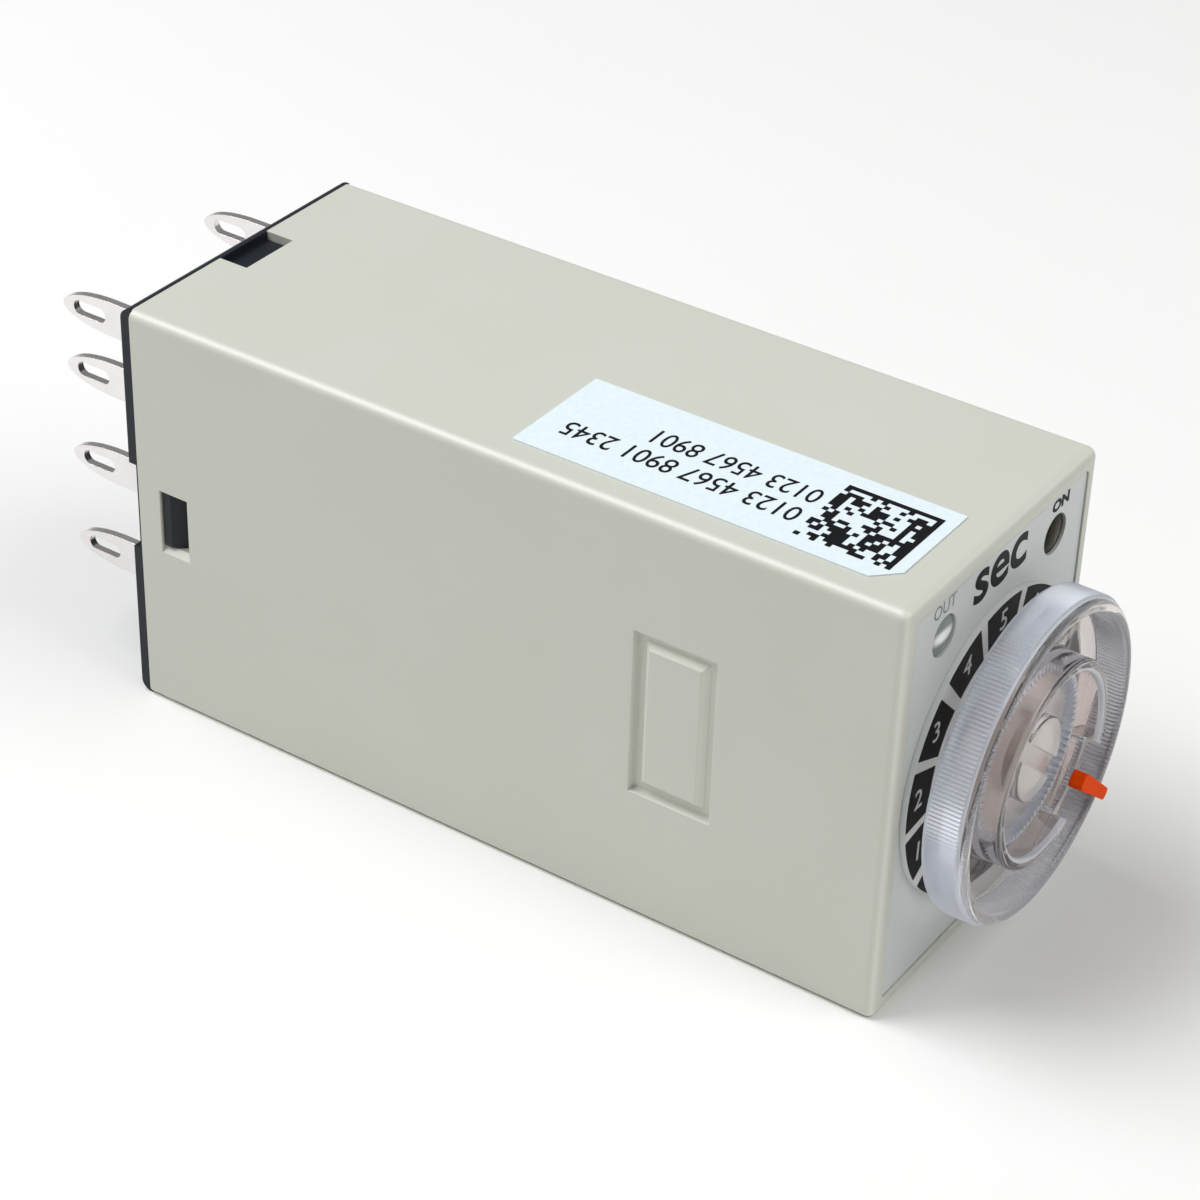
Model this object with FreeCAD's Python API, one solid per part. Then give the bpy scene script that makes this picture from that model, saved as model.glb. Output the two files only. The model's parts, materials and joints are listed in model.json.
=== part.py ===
# Plug-in analogue timer relay, lying on its narrow lower side as it does in an upright socket.
# Millimetres. Origin: centre of the base's seating face. +X runs to the dial, +Z is up.
# Left and right are as seen by someone who faces the dial: left is -Y, right is +Y.
import FreeCAD
import Part
import math
import os

V = FreeCAD.Vector
AHEAD = V(1, 0, 0)
ACROSS = V(0, 1, 0)
UP = V(0, 0, 1)

# Case
case_length = 53.8
case_width = 21.5
case_height = 28.0
case_wall = 1.3
case_front_wall = 1.8
case_edge_radius = 0.6
front_rim = 1.05
nameplate_recess = 0.5
recess_corner = 0.4

# Latch windows, rear notches and grip panels of the case
window_offset = 1.7
window_length = 2.2
window_height = 4.1
window_bevel = 0.4
notch_width = 4.5
notch_depth = 2.1
grip_from_front = 11.5
grip_length = 5.6
grip_height = 11.25
grip_rise = 0.5
grip_depth = 0.45
grip_draft = 0.15
grip_groove = 1.05
grip_island_bevel = 0.4
grip_island_drop = 0.05

# Base
seat_height = 1.3
seat_inset = 2.2
flange_thickness = 0.85
flange_side_inset = 0.2
flange_end_inset = 0.05
flange_round = 0.7
seat_corner = 1.0
plug_depth = 4.6
plug_floor = 2.45
plug_wall = 0.7
plug_clearance = 0.12
pry_notch_height = 6.1
pry_notch_depth = 0.6
pry_notch_reach = 1.2
tongue_fit = 0.08
tongue_drop = 0.55
claw_fit = 0.12
claw_drop = 0.15
claw_flat = 0.6
pedestal_height = 2.6
pedestal_inset = 0.5

# Terminals: stamped blades in two columns and four rows
blade_width = 2.4
blade_nose = 4.0
blade_thickness = 0.5
blade_reach = 6.7
eye_width = 1.0
eye_length = 2.6
eye_from_tip = 2.15
shoulder_width = 3.0
shoulder_length = 1.0
slot_clearance = 0.02
column_margin = 2.7
row_margin = 2.6
contact_row_pitch = 4.4
common_row_pitch = 6.5
supply_row_pitch = 6.5
tab_gap = 1.5
tab_length = 4.2
tab_overhang = 1.4
contact_inset = 2.15

# Relay: coil, magnet frame, armature and contacts
yoke_floor_gap = 0.7
yoke_thickness = 1.3
yoke_head = 3.6
coil_gap = 0.3
lead_gap = 0.3
bobbin_length = 16.6
bobbin_flange = 0.8
bobbin_tube_radius = 3.2
bobbin_corner = 1.2
winding_inset = 0.5
core_radius = 2.4
core_tail_radius = 2.0
pole_radius = 3.8
pole_thickness = 1.0
insert_fit = 0.02
closed_gap = 0.08
armature_thickness = 1.3
armature_heel = 0.15
armature_side_gap = 0.4
armature_swing = 3.0
hinge_spring_thickness = 0.2
hinge_spring_length = 12.0
hinge_spring_rise = 6.0
hinge_spring_inset = 1.0
carrier_back = 1.6
carrier_front = 1.2
carrier_skirt = 3.6
carrier_cap = 1.4
carrier_side = 0.4
armature_below_spring = 0.8
spring_thickness = 0.2
spring_width = 2.6
spring_tip = 1.3
spring_seat = 1.0
contact_from_tab = 1.6
moving_contact_radius = 1.0
moving_contact_height = 0.7
fixed_contact_radius = 1.1
fixed_contact_height = 0.45
contact_shank_radius = 0.5
contact_gap = 0.05
coil_pin_radius = 0.3
coil_pin_inset = 0.5
coil_pin_bend = 0.8
coil_pin_clearance = 2.8
common_lead_radius = 0.45
common_lead_bend = 1.4
common_lead_lap = 2.5
common_lead_setback = 1.6
common_lead_slope = 6.0

# Circuit boards
board_thickness = 1.2
board_clearance = 0.1
board_edge_gap = 0.25
board_start_gap = 0.9
board_tail_lap = 2.6
rail_width = 0.9
rail_height = 1.0
post_size = 1.3
component_lead_width = 0.45
component_lead_stub = 0.5
component_gap = 0.1
component_lead_bend = 0.5
component_corner = 0.3
lead_hole_fit = 0.1

# Components on the right board: distances from the front board, rises from the case's floor
chip_from_front = 3.4
chip_rise = 15.3
chip_length = 9.9
chip_width = 3.9
chip_height = 1.5
chip_standoff = 0.15
chip_lead_pitch = 1.27
chip_leads_in_row = 8
chip_lead_width = 0.4
chip_lead_height = 0.8
chip_lead_reach = 1.0
can_from_front = 0.6
can_rise = 5.3
can_radius = 3.2
can_length = 7.0
can_round = 0.4
can_lead_pitch = 2.5
can_lead_setback = 1.2
transistor_from_front = 8.7
transistor_rise = 19.1
transistor_radius = 2.1
transistor_flat = 1.05
transistor_height = 4.4
transistor_lead_pitch = 1.05
resistor_from_front = 9.0
resistor_rises = (11.9, 13.9, 15.9)
resistor_length = 3.0
resistor_radius = 0.7
resistor_lead_span = 4.4

# Components on the left board, placed the same way
dropper_from_front = 0.6
dropper_length = 9.0
dropper_rise = 16.2
dropper_width = 7.0
dropper_height = 4.6
dropper_lead_pitch = 7.5
rectifier_from_front = 1.0
rectifier_rise = 9.3
rectifier_size = 4.4
rectifier_height = 2.4
rectifier_lead_pitch = 3.0
absorber_from_front = 3.4
absorber_rise = 3.9
absorber_radius = 2.6
absorber_thickness = 2.4
absorber_round = 0.6
absorber_lead_pitch = 2.6
timing_from_front = 6.0
timing_length = 3.8
timing_rise = 9.1
timing_width = 2.4
timing_height = 4.0
timing_lead_pitch = 2.5
diode_from_front = 8.6
diode_rise = 2.3
diode_length = 2.6
diode_radius = 0.7
diode_lead_span = 4.4

# Dial: potentiometer, shaft, knob and pointer
dial_drop = 0.2
dial_sweep = 280.0
pointer_angle = 131.0
pot_depth = 4.8
pot_half = 4.9
pot_gap = 0.3
pot_cover = 1.0
pot_cavity_radius = 4.3
pot_corner = 0.8
bush_radius = 3.0
bush_setback = 0.1
bush_clearance = 0.1
shaft_radius = 2.0
shaft_clearance = 0.05
shaft_reach = 2.7
shaft_teeth = 18
shaft_tooth_depth = 0.18
shaft_knurl_length = 2.3
rotor_radius = 3.4
rotor_thickness = 1.2
rotor_gap = 0.1
stop_tab_angle = 30.0
stop_play_angle = 1.0
stop_gap = 0.15
track_thickness = 0.6
track_bore = 1.5
wiper_thickness = 0.2
wiper_width = 1.2
wiper_inner = 2.2
wiper_outer = 3.6
wiper_foot = 0.6
wiper_gap = 0.05
pot_pin_radius = 0.35
pot_pin_circle = 3.4
pot_pin_angles = (120.0, 180.0, 240.0)

knob_radius = 10.05
knob_back = 1.6
knob_front = 4.25
knob_rim_wall = 1.05
knob_rim_round = 0.45
knob_web = 0.7
knurl_ridges = 240
knurl_depth = 0.14
knurl_land = 0.03
knurl_margin_back = 0.12
knurl_margin_front = 0.45
hub_radius = 6.4
hub_front = 4.5
hub_wall = 0.8
hub_round = 0.3
hub_gap_width = 4.8
hub_teeth = 80
hub_tooth_depth = 0.45
hub_tooth_height = 0.6
hub_tooth_land = 0.05
boss_radius = 3.2
boss_lift = 0.2
slot_boss_radius = 2.6
slot_boss_front = 3.5
slot_width = 1.2
slot_depth = 0.4
rib_angle = 22.0
rib_thickness = 0.35
rib_drop = 0.6
pointer_width = 1.1
pointer_tip_width = 0.75
pointer_inner = 5.6
pointer_overhang = 0.15
pointer_back = 3.7
pointer_front = 4.55
pointer_round = 0.3
pointer_fit = 0.02

# Front plates, indicators and the label on top
nameplate_thickness = 0.4
nameplate_fit = 0.05
dial_plate_gap = 0.3
dial_plate_thickness = 0.4
dial_plate_bore_gap = 0.6
indicator_from_side = 4.45
indicator_from_top = 3.7
indicator_hole_radius = 1.28
lamp_radius = 1.2
lamp_dome = 0.15
lamp_flange_radius = 1.45
lamp_flange = 0.8
lamp_standoff = 1.0
lamp_lead_pitch = 1.27
lamp_depth = 0.1
label_length = 24.7
label_width = 8.35
label_thickness = 0.1
label_from_front = 2.3
label_from_side = 1.95
label_corner_cut = 1.8

# How far a cutting shape runs past the face that it cuts
over = 1.0

# Places that follow from the sizes above
half_width = case_width / 2
half_height = case_height / 2
inner_width = half_width - case_wall
inner_height = half_height - case_wall
case_rear = seat_height + flange_thickness
case_front = case_rear + case_length
front_inner = case_front - case_front_wall
plate_seat = case_front - nameplate_recess
plate_front = plate_seat + nameplate_thickness
dial_plate_front = plate_front + dial_plate_thickness
dial_centre = V(0, 0, -dial_drop)
dial_plate_radius = half_width - front_rim - dial_plate_gap
indicator_column = half_width - indicator_from_side
indicator_row = half_height - indicator_from_top

plug_width = inner_width - plug_clearance
plug_height = inner_height - plug_clearance
plug_front = case_rear + plug_depth
floor_front = case_rear + plug_floor

column = inner_width - column_margin
row_closed = inner_height - row_margin
row_open = row_closed - contact_row_pitch
row_common = row_open - common_row_pitch
row_supply = row_common - supply_row_pitch
blade_inner = column - blade_thickness / 2
blade_outer = column + blade_thickness / 2
tab_rear = plug_front + tab_gap
tab_front = tab_rear + tab_length
contact_column = column - contact_inset

yoke_bottom = yoke_floor_gap - inner_height
yoke_top = yoke_bottom + yoke_thickness
yoke_back = floor_front + pedestal_height
bobbin_half = blade_inner - lead_gap
coil_level = yoke_top + coil_gap + bobbin_half
bobbin_rear = yoke_back + yoke_thickness
bobbin_front = bobbin_rear + bobbin_length
pole_face = bobbin_front + pole_thickness
winding_radius = bobbin_half - winding_inset
coil_pin_column = bobbin_half - coil_pin_inset
coil_pin_level = row_supply + blade_width / 2 + coil_pin_clearance + coil_pin_radius
armature_half = coil_pin_column - coil_pin_radius - armature_side_gap
armature_back = pole_face + closed_gap
armature_face = armature_back + armature_thickness
pivot = V(armature_back, 0, yoke_bottom)

open_face = row_open + blade_width / 2 + fixed_contact_height
spring_bottom = open_face + closed_gap + moving_contact_height
spring_top = spring_bottom + spring_thickness
contact_x = tab_rear + contact_from_tab
carrier_rear = armature_back - carrier_back
carrier_fore = armature_face + carrier_front
carrier_half = blade_inner - carrier_side
carrier_top = spring_top + carrier_cap

board_inner = blade_outer
board_outer = board_inner + board_thickness
component_lead_radius = component_lead_width / 2
lead_hole_radius = component_lead_width * math.sqrt(0.5) + lead_hole_fit
pot_front = front_inner - pot_gap
pot_rear = pot_front - pot_depth
front_board_rear = pot_rear - board_thickness
rotor_front = pot_front - pot_cover - rotor_gap
rotor_rear = rotor_front - rotor_thickness
track_front = pot_rear + track_thickness
lamp_base = pot_rear + lamp_standoff

rim_inner = knob_radius - knob_rim_wall
web_front = knob_back + knob_web
boss_back = dial_plate_front - case_front + boss_lift


# General shapes
def span(centre, size):
    return (centre - size / 2, centre + size / 2)


def beside(side, near, far):
    return tuple(sorted((side * near, side * far)))


def box(x, y, z):
    return Part.makeBox(x[1] - x[0], y[1] - y[0], z[1] - z[0], V(x[0], y[0], z[0]))


def rod(x, radius, centre=V(0, 0, 0)):
    return Part.makeCylinder(radius, x[1] - x[0], V(x[0], centre.y, centre.z), AHEAD)


def pin_across(y, radius, x, z):
    return Part.makeCylinder(radius, y[1] - y[0], V(x, y[0], z), ACROSS)


def pin_up(z, radius, x, y):
    return Part.makeCylinder(radius, z[1] - z[0], V(x, y, z[0]), UP)


def edges_along(shape, axis):
    straight = [edge for edge in shape.Edges if isinstance(edge.Curve, Part.Line)]
    return [edge for edge in straight if abs(edge.Curve.Direction.dot(axis)) > 0.999]


def rounded_box(x, y, z, radius, axis=AHEAD):
    block = box(x, y, z)
    return block.makeFillet(radius, edges_along(block, axis))


def prism(points, sweep):
    return Part.Face(Part.makePolygon(points + points[:1])).extrude(sweep)


def joined(shapes):
    return shapes[0].fuse(shapes[1:]).removeSplitter()


def turned(shape, clockwise):
    # Turns about the dial's own axis, clockwise as seen by someone who faces the dial.
    return shape.rotated(dial_centre, AHEAD, -clockwise)


def sector(x, inner, outer, middle, width):
    # A ring segment about the dial's axis. A cylinder's own sector starts upright and runs anticlockwise.
    wedge = Part.makeCylinder(outer, x[1] - x[0], V(x[0], 0, -dial_drop), AHEAD, width)
    return turned(wedge.cut(rod(x, inner, dial_centre)), middle + width / 2)


def star(x, tips, outer, depth):
    # A toothed disc about the dial's axis, with straight flanks.
    points = []
    for step in range(2 * tips):
        radius = outer - depth * (step % 2)
        angle = math.pi * step / tips
        points.append(V(x[0], radius * math.sin(angle), radius * math.cos(angle)) + dial_centre)
    return prism(points, V(x[1] - x[0], 0, 0))


def rounded_path(points, radius):
    # Straight runs joined by tangent arcs of one radius.
    edges = []
    start = points[0]
    for before, corner, after in zip(points, points[1:], points[2:]):
        back = (before - corner).normalize()
        ahead = (after - corner).normalize()
        half = back.getAngle(ahead) / 2
        first = corner + back * (radius / math.tan(half))
        last = corner + ahead * (radius / math.tan(half))
        bisector = (back + ahead).normalize()
        middle = corner + bisector * (radius / math.sin(half) - radius)
        edges.append(Part.makeLine(start, first))
        edges.append(Part.Arc(first, middle, last).toShape())
        start = last
    edges.append(Part.makeLine(start, points[-1]))
    return Part.Wire(edges)


def wire_along(points, radius, bend):
    path = rounded_path(points, bend)
    section = Part.Wire([Part.makeCircle(radius, points[0], points[1] - points[0])])
    return path.makePipeShell([section], True, False)


# Case, base and front plates
def grip_cut():
    # The bevelled groove round a raised panel, on the right side wall.
    x = span(case_front - grip_from_front - grip_length / 2, grip_length)
    z = span(grip_rise, grip_height)
    floor = half_width - grip_depth
    flare = grip_draft * over / grip_depth
    pocket = Part.makeWedge(
        x[0] + grip_draft, floor, z[0] + grip_draft, z[0] - flare, x[0] - flare,
        x[1] - grip_draft, half_width + over, z[1] - grip_draft, z[1] + flare, x[1] + flare,
    )
    foot = grip_groove - grip_island_bevel
    island = Part.makeWedge(
        x[0] + foot, floor, z[0] + foot, z[0] + grip_groove, x[0] + grip_groove,
        x[1] - foot, half_width - grip_island_drop, z[1] - foot, z[1] - grip_groove, x[1] - grip_groove,
    )
    return pocket.cut(island)


def window_cut():
    # A latch window with a sloping lower lip, in the right side wall.
    x0 = case_rear + window_offset
    x = (x0, x0 + window_length)
    opening = box(x, (inner_width - over, half_width + over), span(0, window_height))
    sill = -window_height / 2
    lip = prism(
        [
            V(x0, half_width - window_bevel, sill),
            V(x0, half_width + over, sill),
            V(x0, half_width + over, sill - window_bevel - over),
        ],
        V(window_length, 0, 0),
    )
    return opening.fuse(lip)


def board_rails(side, edge):
    # The two ribs that hold the long edge of one side board.
    x = (board_rear, front_board_rear)
    z = beside(edge, inner_height - rail_height, inner_height + case_wall / 2)
    inside = board_inner - board_clearance
    outside = board_outer + board_clearance
    return [
        box(x, beside(side, inside - rail_width, inside), z),
        box(x, beside(side, outside, inner_width + case_wall / 2), z),
    ]


def board_post(side, edge):
    # A corner post that the front board rests against.
    y = beside(side, inner_width - post_size, inner_width + case_wall / 2)
    z = beside(edge, inner_height - post_size, inner_height + case_wall / 2)
    return box((pot_rear, front_inner + case_front_wall / 2), y, z)


def make_case():
    block = box((case_rear, case_front), (-half_width, half_width), (-half_height, half_height))
    soft = edges_along(block, AHEAD)
    soft += [edge for edge in block.Edges if edge.BoundBox.XMin > case_front - over]
    block = block.makeFillet(case_edge_radius, soft)
    cavity = box((case_rear - over, front_inner), (-inner_width, inner_width), (-inner_height, inner_height))
    recess_y = half_width - front_rim
    recess_z = half_height - front_rim
    recess_x = (plate_seat, case_front + over)
    cuts = [
        rounded_box(recess_x, (-recess_y, recess_y), (-recess_z, recess_z), recess_corner),
        rod((front_inner - over, case_front + over), bush_radius + bush_clearance, dial_centre),
    ]
    ribs = []
    for side in (-1, 1):
        lamp = V(0, side * indicator_column, indicator_row)
        cuts.append(rod((front_inner - over, case_front + over), indicator_hole_radius, lamp))
        notch_z = beside(side, inner_height - over, half_height + over)
        cuts.append(box((case_rear - over, case_rear + notch_depth), span(0, notch_width), notch_z))
        for edge in (-1, 1):
            ribs += board_rails(side, edge)
            ribs.append(board_post(side, edge))
    for right_cut in (grip_cut(), window_cut()):
        cuts.append(right_cut)
        cuts.append(right_cut.mirror(V(0, 0, 0), ACROSS))
    shell = block.cut(cavity)
    return joined([shell] + ribs).cut(cuts).removeSplitter()


def base_claw():
    # The ramped catch on the right side of the plug.
    x0 = case_rear + window_offset + claw_fit
    x1 = case_rear + window_offset + window_length - claw_fit
    reach = half_width - claw_drop
    root = plug_width - plug_wall / 2
    bottom = claw_fit - window_height / 2
    outline = [
        V(x0, root, bottom),
        V(x0, reach, bottom),
        V(x0 + claw_flat, reach, bottom),
        V(x1, plug_width, bottom),
        V(x1, root, bottom),
    ]
    return prism(outline, V(0, 0, window_height - 2 * claw_fit))


def base_flange():
    # The plate that closes the case, with its upper and lower rear edges rounded off.
    y = half_width - flange_side_inset
    z = half_height - flange_end_inset
    plate = box((seat_height, case_rear), (-y, y), (-z, z))
    middle = (seat_height + case_rear) / 2
    rear = [edge for edge in edges_along(plate, ACROSS) if edge.CenterOfMass.x < middle]
    return plate.makeFillet(flange_round, rear)


def make_base():
    seat_y = half_width - seat_inset
    seat_z = half_height - seat_inset
    seat = rounded_box((0, seat_height), (-seat_y, seat_y), (-seat_z, seat_z), seat_corner)
    plug = box((case_rear, plug_front), (-plug_width, plug_width), (-plug_height, plug_height))
    well_y = plug_width - plug_wall
    well_z = plug_height - plug_wall
    well = box((floor_front, plug_front + over), (-well_y, well_y), (-well_z, well_z))
    pedestal_y = armature_half - pedestal_inset
    pedestal_z = (yoke_bottom + pedestal_inset, coil_level + yoke_head - pedestal_inset)
    pedestal = box((floor_front, yoke_back), (-pedestal_y, pedestal_y), pedestal_z)
    claw = base_claw()
    solids = [base_flange(), seat, plug.cut(well), pedestal, claw, claw.mirror(V(0, 0, 0), ACROSS)]
    cuts = []
    for side in (-1, 1):
        tongue_z = beside(side, plug_height - plug_wall, half_height - tongue_drop)
        tongue_x = (case_rear, case_rear + notch_depth - tongue_fit)
        solids.append(box(tongue_x, span(0, notch_width - 2 * tongue_fit), tongue_z))
        pry_y = beside(side, half_width - pry_notch_reach, half_width + over)
        cuts.append(box((seat_height, seat_height + pry_notch_depth), pry_y, span(0, pry_notch_height)))
        slot_y = span(side * column, blade_thickness + 2 * slot_clearance)
        for row in (row_closed, row_open, row_common, row_supply):
            slot_z = span(row, blade_width + 2 * slot_clearance)
            cuts.append(box((-over, floor_front + over), slot_y, slot_z))
    return joined(solids).cut(cuts).removeSplitter()


def make_nameplate():
    y = half_width - front_rim - nameplate_fit
    z = half_height - front_rim - nameplate_fit
    plate = rounded_box((plate_seat, plate_front), (-y, y), (-z, z), recess_corner)
    through = (plate_seat - over, plate_front + over)
    holes = [rod(through, bush_radius + bush_clearance, dial_centre)]
    for side in (-1, 1):
        holes.append(rod(through, indicator_hole_radius, V(0, side * indicator_column, indicator_row)))
    return plate.cut(holes)


def make_dial_plate():
    disc = rod((plate_front, dial_plate_front), dial_plate_radius, dial_centre)
    bore = rod((plate_front - over, dial_plate_front + over), shaft_radius + dial_plate_bore_gap, dial_centre)
    return disc.cut(bore)


def make_label():
    # A paper label on the case's top, with its corner nearest the dial's left cut off.
    front = case_front - label_from_front
    rear = front - label_length
    near = label_from_side - half_width
    far = near + label_width
    outline = [
        V(rear, near, half_height),
        V(front - label_corner_cut, near, half_height),
        V(front, near + label_corner_cut, half_height),
        V(front, far, half_height),
        V(rear, far, half_height),
    ]
    return prism(outline, V(0, 0, label_thickness))


# Terminals
def blade(side, row, inner_end):
    # One stamped blade with an oval tip, a solder eye and a shoulder that seats on the base's floor.
    tip = -blade_reach
    nose_end = tip + blade_nose
    half = blade_width / 2
    y = side * column - blade_thickness / 2
    oval = Part.Ellipse(V(tip, y, row), V(nose_end, y, row + half), V(nose_end, y, row))
    nose = Part.Arc(oval, -math.pi / 2, math.pi / 2).toShape()
    flanks = Part.makePolygon(
        [
            V(nose_end, y, row + half),
            V(inner_end, y, row + half),
            V(inner_end, y, row - half),
            V(nose_end, y, row - half),
        ]
    )
    thickness = V(0, blade_thickness, 0)
    strip = Part.Face(Part.Wire([nose] + flanks.Edges)).extrude(thickness)
    shoulder_x = (floor_front, floor_front + shoulder_length)
    across = (y, y + blade_thickness)
    shoulder = box(shoulder_x, across, span(row, shoulder_width))
    eye_x = tip + eye_from_tip
    eye_half = (eye_length - eye_width) / 2
    through = (y - over, y + blade_thickness + over)
    eye = [
        box((eye_x - eye_half, eye_x + eye_half), through, span(row, eye_width)),
        pin_across(through, eye_width / 2, eye_x - eye_half, row),
        pin_across(through, eye_width / 2, eye_x + eye_half, row),
    ]
    return strip.fuse(shoulder).cut(eye).removeSplitter()


def contact_terminal(side, row, contact_at):
    # A blade whose inner end is folded inwards, with a hole for the fixed contact's shank.
    top = row + blade_width / 2
    tab_y = beside(side, contact_column - tab_overhang, blade_outer)
    tab = box((tab_rear, tab_front), tab_y, (top - blade_thickness, top))
    hole = pin_up(
        (top - blade_thickness - over, top + over),
        contact_shank_radius + insert_fit, contact_at, side * contact_column,
    )
    return joined([blade(side, row, tab_front), tab]).cut(hole)


# Relay
def opened(shape):
    # The armature and what it carries are laid out closed, and stand open at rest.
    return shape.rotated(pivot, ACROSS, armature_swing)


def opened_point(x, z):
    angle = math.radians(armature_swing)
    dx = x - pivot.x
    dz = z - pivot.z
    return (
        pivot.x + dx * math.cos(angle) + dz * math.sin(angle),
        pivot.z + dz * math.cos(angle) - dx * math.sin(angle),
    )


def make_yoke():
    back_z = (yoke_bottom, coil_level + yoke_head)
    back = box((yoke_back, bobbin_rear), (-armature_half, armature_half), back_z)
    leg = box((yoke_back, pole_face), (-armature_half, armature_half), (yoke_bottom, yoke_top))
    hole = rod((yoke_back - over, bobbin_rear + over), core_tail_radius + insert_fit, V(0, 0, coil_level))
    return joined([back, leg]).cut(hole)


def make_core():
    centre = V(0, 0, coil_level)
    return joined(
        [
            rod((yoke_back, bobbin_rear), core_tail_radius, centre),
            rod((bobbin_rear, bobbin_front), core_radius, centre),
            rod((bobbin_front, pole_face), pole_radius, centre),
        ]
    )


def make_bobbin():
    centre = V(0, 0, coil_level)
    y = (-bobbin_half, bobbin_half)
    z = (coil_level - bobbin_half, coil_level + bobbin_half)
    spool = joined(
        [
            rod((bobbin_rear, bobbin_front), bobbin_tube_radius, centre),
            rounded_box((bobbin_rear, bobbin_rear + bobbin_flange), y, z, bobbin_corner),
            rounded_box((bobbin_front - bobbin_flange, bobbin_front), y, z, bobbin_corner),
        ]
    )
    cuts = [rod((bobbin_rear - over, bobbin_front + over), core_radius + insert_fit, centre)]
    for side in (-1, 1):
        pin_centre = V(0, side * coil_pin_column, coil_pin_level)
        hole_x = (bobbin_front - bobbin_flange - over, bobbin_front + over)
        cuts.append(rod(hole_x, coil_pin_radius + insert_fit, pin_centre))
    return spool.cut(cuts)


def make_winding():
    centre = V(0, 0, coil_level)
    x = (bobbin_rear + bobbin_flange, bobbin_front - bobbin_flange)
    return rod(x, winding_radius, centre).cut(rod(x, bobbin_tube_radius + insert_fit, centre))


def armature_plate(fit=0.0):
    top = spring_bottom - armature_below_spring
    return box(
        (armature_back - fit, armature_face + fit),
        (-armature_half - fit, armature_half + fit),
        (yoke_bottom + armature_heel, top + fit),
    )


def spring_strip(side, fit=0.0):
    x = (contact_x - spring_tip, carrier_rear + spring_seat + fit)
    y = span(side * contact_column, spring_width + 2 * fit)
    return box(x, y, (spring_bottom - fit, spring_top + fit))


def make_carrier():
    block = rounded_box(
        (carrier_rear, carrier_fore),
        (-carrier_half, carrier_half),
        (spring_bottom - carrier_skirt, carrier_top),
        carrier_side, ACROSS,
    )
    cuts = [armature_plate(insert_fit)] + [spring_strip(side, insert_fit) for side in (-1, 1)]
    return opened(block.cut(cuts))


def make_moving_spring(side):
    hole = pin_up(
        (spring_bottom - over, spring_top + over),
        contact_shank_radius + insert_fit, contact_x, side * contact_column,
    )
    return opened(spring_strip(side).cut(hole))


def make_moving_contact(side):
    y = side * contact_column
    lower = (spring_bottom - moving_contact_height, spring_bottom)
    upper = (spring_top, spring_top + moving_contact_height)
    return opened(
        joined(
            [
                pin_up(lower, moving_contact_radius, contact_x, y),
                pin_up((spring_bottom, spring_top), contact_shank_radius, contact_x, y),
                pin_up(upper, moving_contact_radius, contact_x, y),
            ]
        )
    )


def make_fixed_contact(side, row, x, face):
    # A rivet through a terminal's folded tab, with its head towards the moving contact.
    y = side * contact_column
    top = row + blade_width / 2
    bottom = top - blade_thickness
    head = (top, face) if face > top else (face, bottom)
    return joined(
        [
            pin_up(head, fixed_contact_radius, x, y),
            pin_up((bottom, top), contact_shank_radius, x, y),
        ]
    )


def make_hinge_spring():
    # A bent leaf under the magnet frame that holds the armature on its edge and swings it open.
    half = armature_half - hinge_spring_inset
    front = armature_face + insert_fit
    upright = box(
        (front, front + hinge_spring_thickness),
        (-half, half),
        (yoke_bottom, yoke_bottom + hinge_spring_rise),
    )
    leaf_x = (pole_face - hinge_spring_length, front + hinge_spring_thickness)
    leaf = box(leaf_x, (-half, half), (yoke_bottom - hinge_spring_thickness, yoke_bottom))
    return joined([leaf, opened(upright)])


def make_coil_pin(side):
    # From the bobbin's front flange, past the armature's side, and out through the side board.
    y = side * coil_pin_column
    return wire_along(
        [
            V(bobbin_front - bobbin_flange, y, coil_pin_level),
            V(coil_pin_turn, y, coil_pin_level),
            V(coil_pin_turn, side * (board_outer + component_lead_stub), coil_pin_level),
        ],
        coil_pin_radius,
        coil_pin_bend,
    )


def make_common_lead(side):
    # The flexible strand from a common terminal to the root of its moving spring.
    out = side * (blade_outer + common_lead_radius + insert_fit)
    root_x, root_z = opened_point(carrier_rear - common_lead_setback, spring_top)
    level = root_z + common_lead_radius + contact_gap
    return wire_along(
        [
            V(tab_front - common_lead_lap, out, row_common),
            V(root_x - common_lead_slope, out, row_common),
            V(root_x, out, level),
            V(root_x, side * (contact_column - spring_width / 2), level),
        ],
        common_lead_radius,
        common_lead_bend,
    )


contact_rest_x, contact_rest_top = opened_point(contact_x, spring_top + moving_contact_height)
closed_face = (
    contact_rest_top
    + moving_contact_radius * math.sin(math.radians(armature_swing))
    + contact_gap
)
board_rear = opened_point(carrier_fore, carrier_top)[0] + board_start_gap
coil_pin_turn = board_rear + coil_pin_bend + coil_pin_radius
tail_end = board_rear + board_tail_lap


# Electronics on the boards. A component gives its solid and the points where its leads pass a board.
def leaded(body, side, points, sink):
    # Straight square leads from inside a component out through its side board.
    y = beside(side, board_inner - sink, board_outer + component_lead_stub)
    leads = [box(span(x, component_lead_width), y, span(z, component_lead_width)) for x, z in points]
    return joined([body] + leads)


def axial(side, x, z, length, radius, lead_span):
    # A round body on one bent wire, standing just off its board.
    y = side * (board_inner - component_gap - radius)
    end = side * (board_outer + component_lead_stub)
    body = rod(span(x, length), radius, V(0, y, z))
    rear, front = span(x, lead_span)
    route = [V(rear, end, z), V(rear, y, z), V(front, y, z), V(front, end, z)]
    lead = wire_along(route, component_lead_radius, component_lead_bend)
    return joined([body, lead]), [(rear, z), (front, z)]


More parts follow.
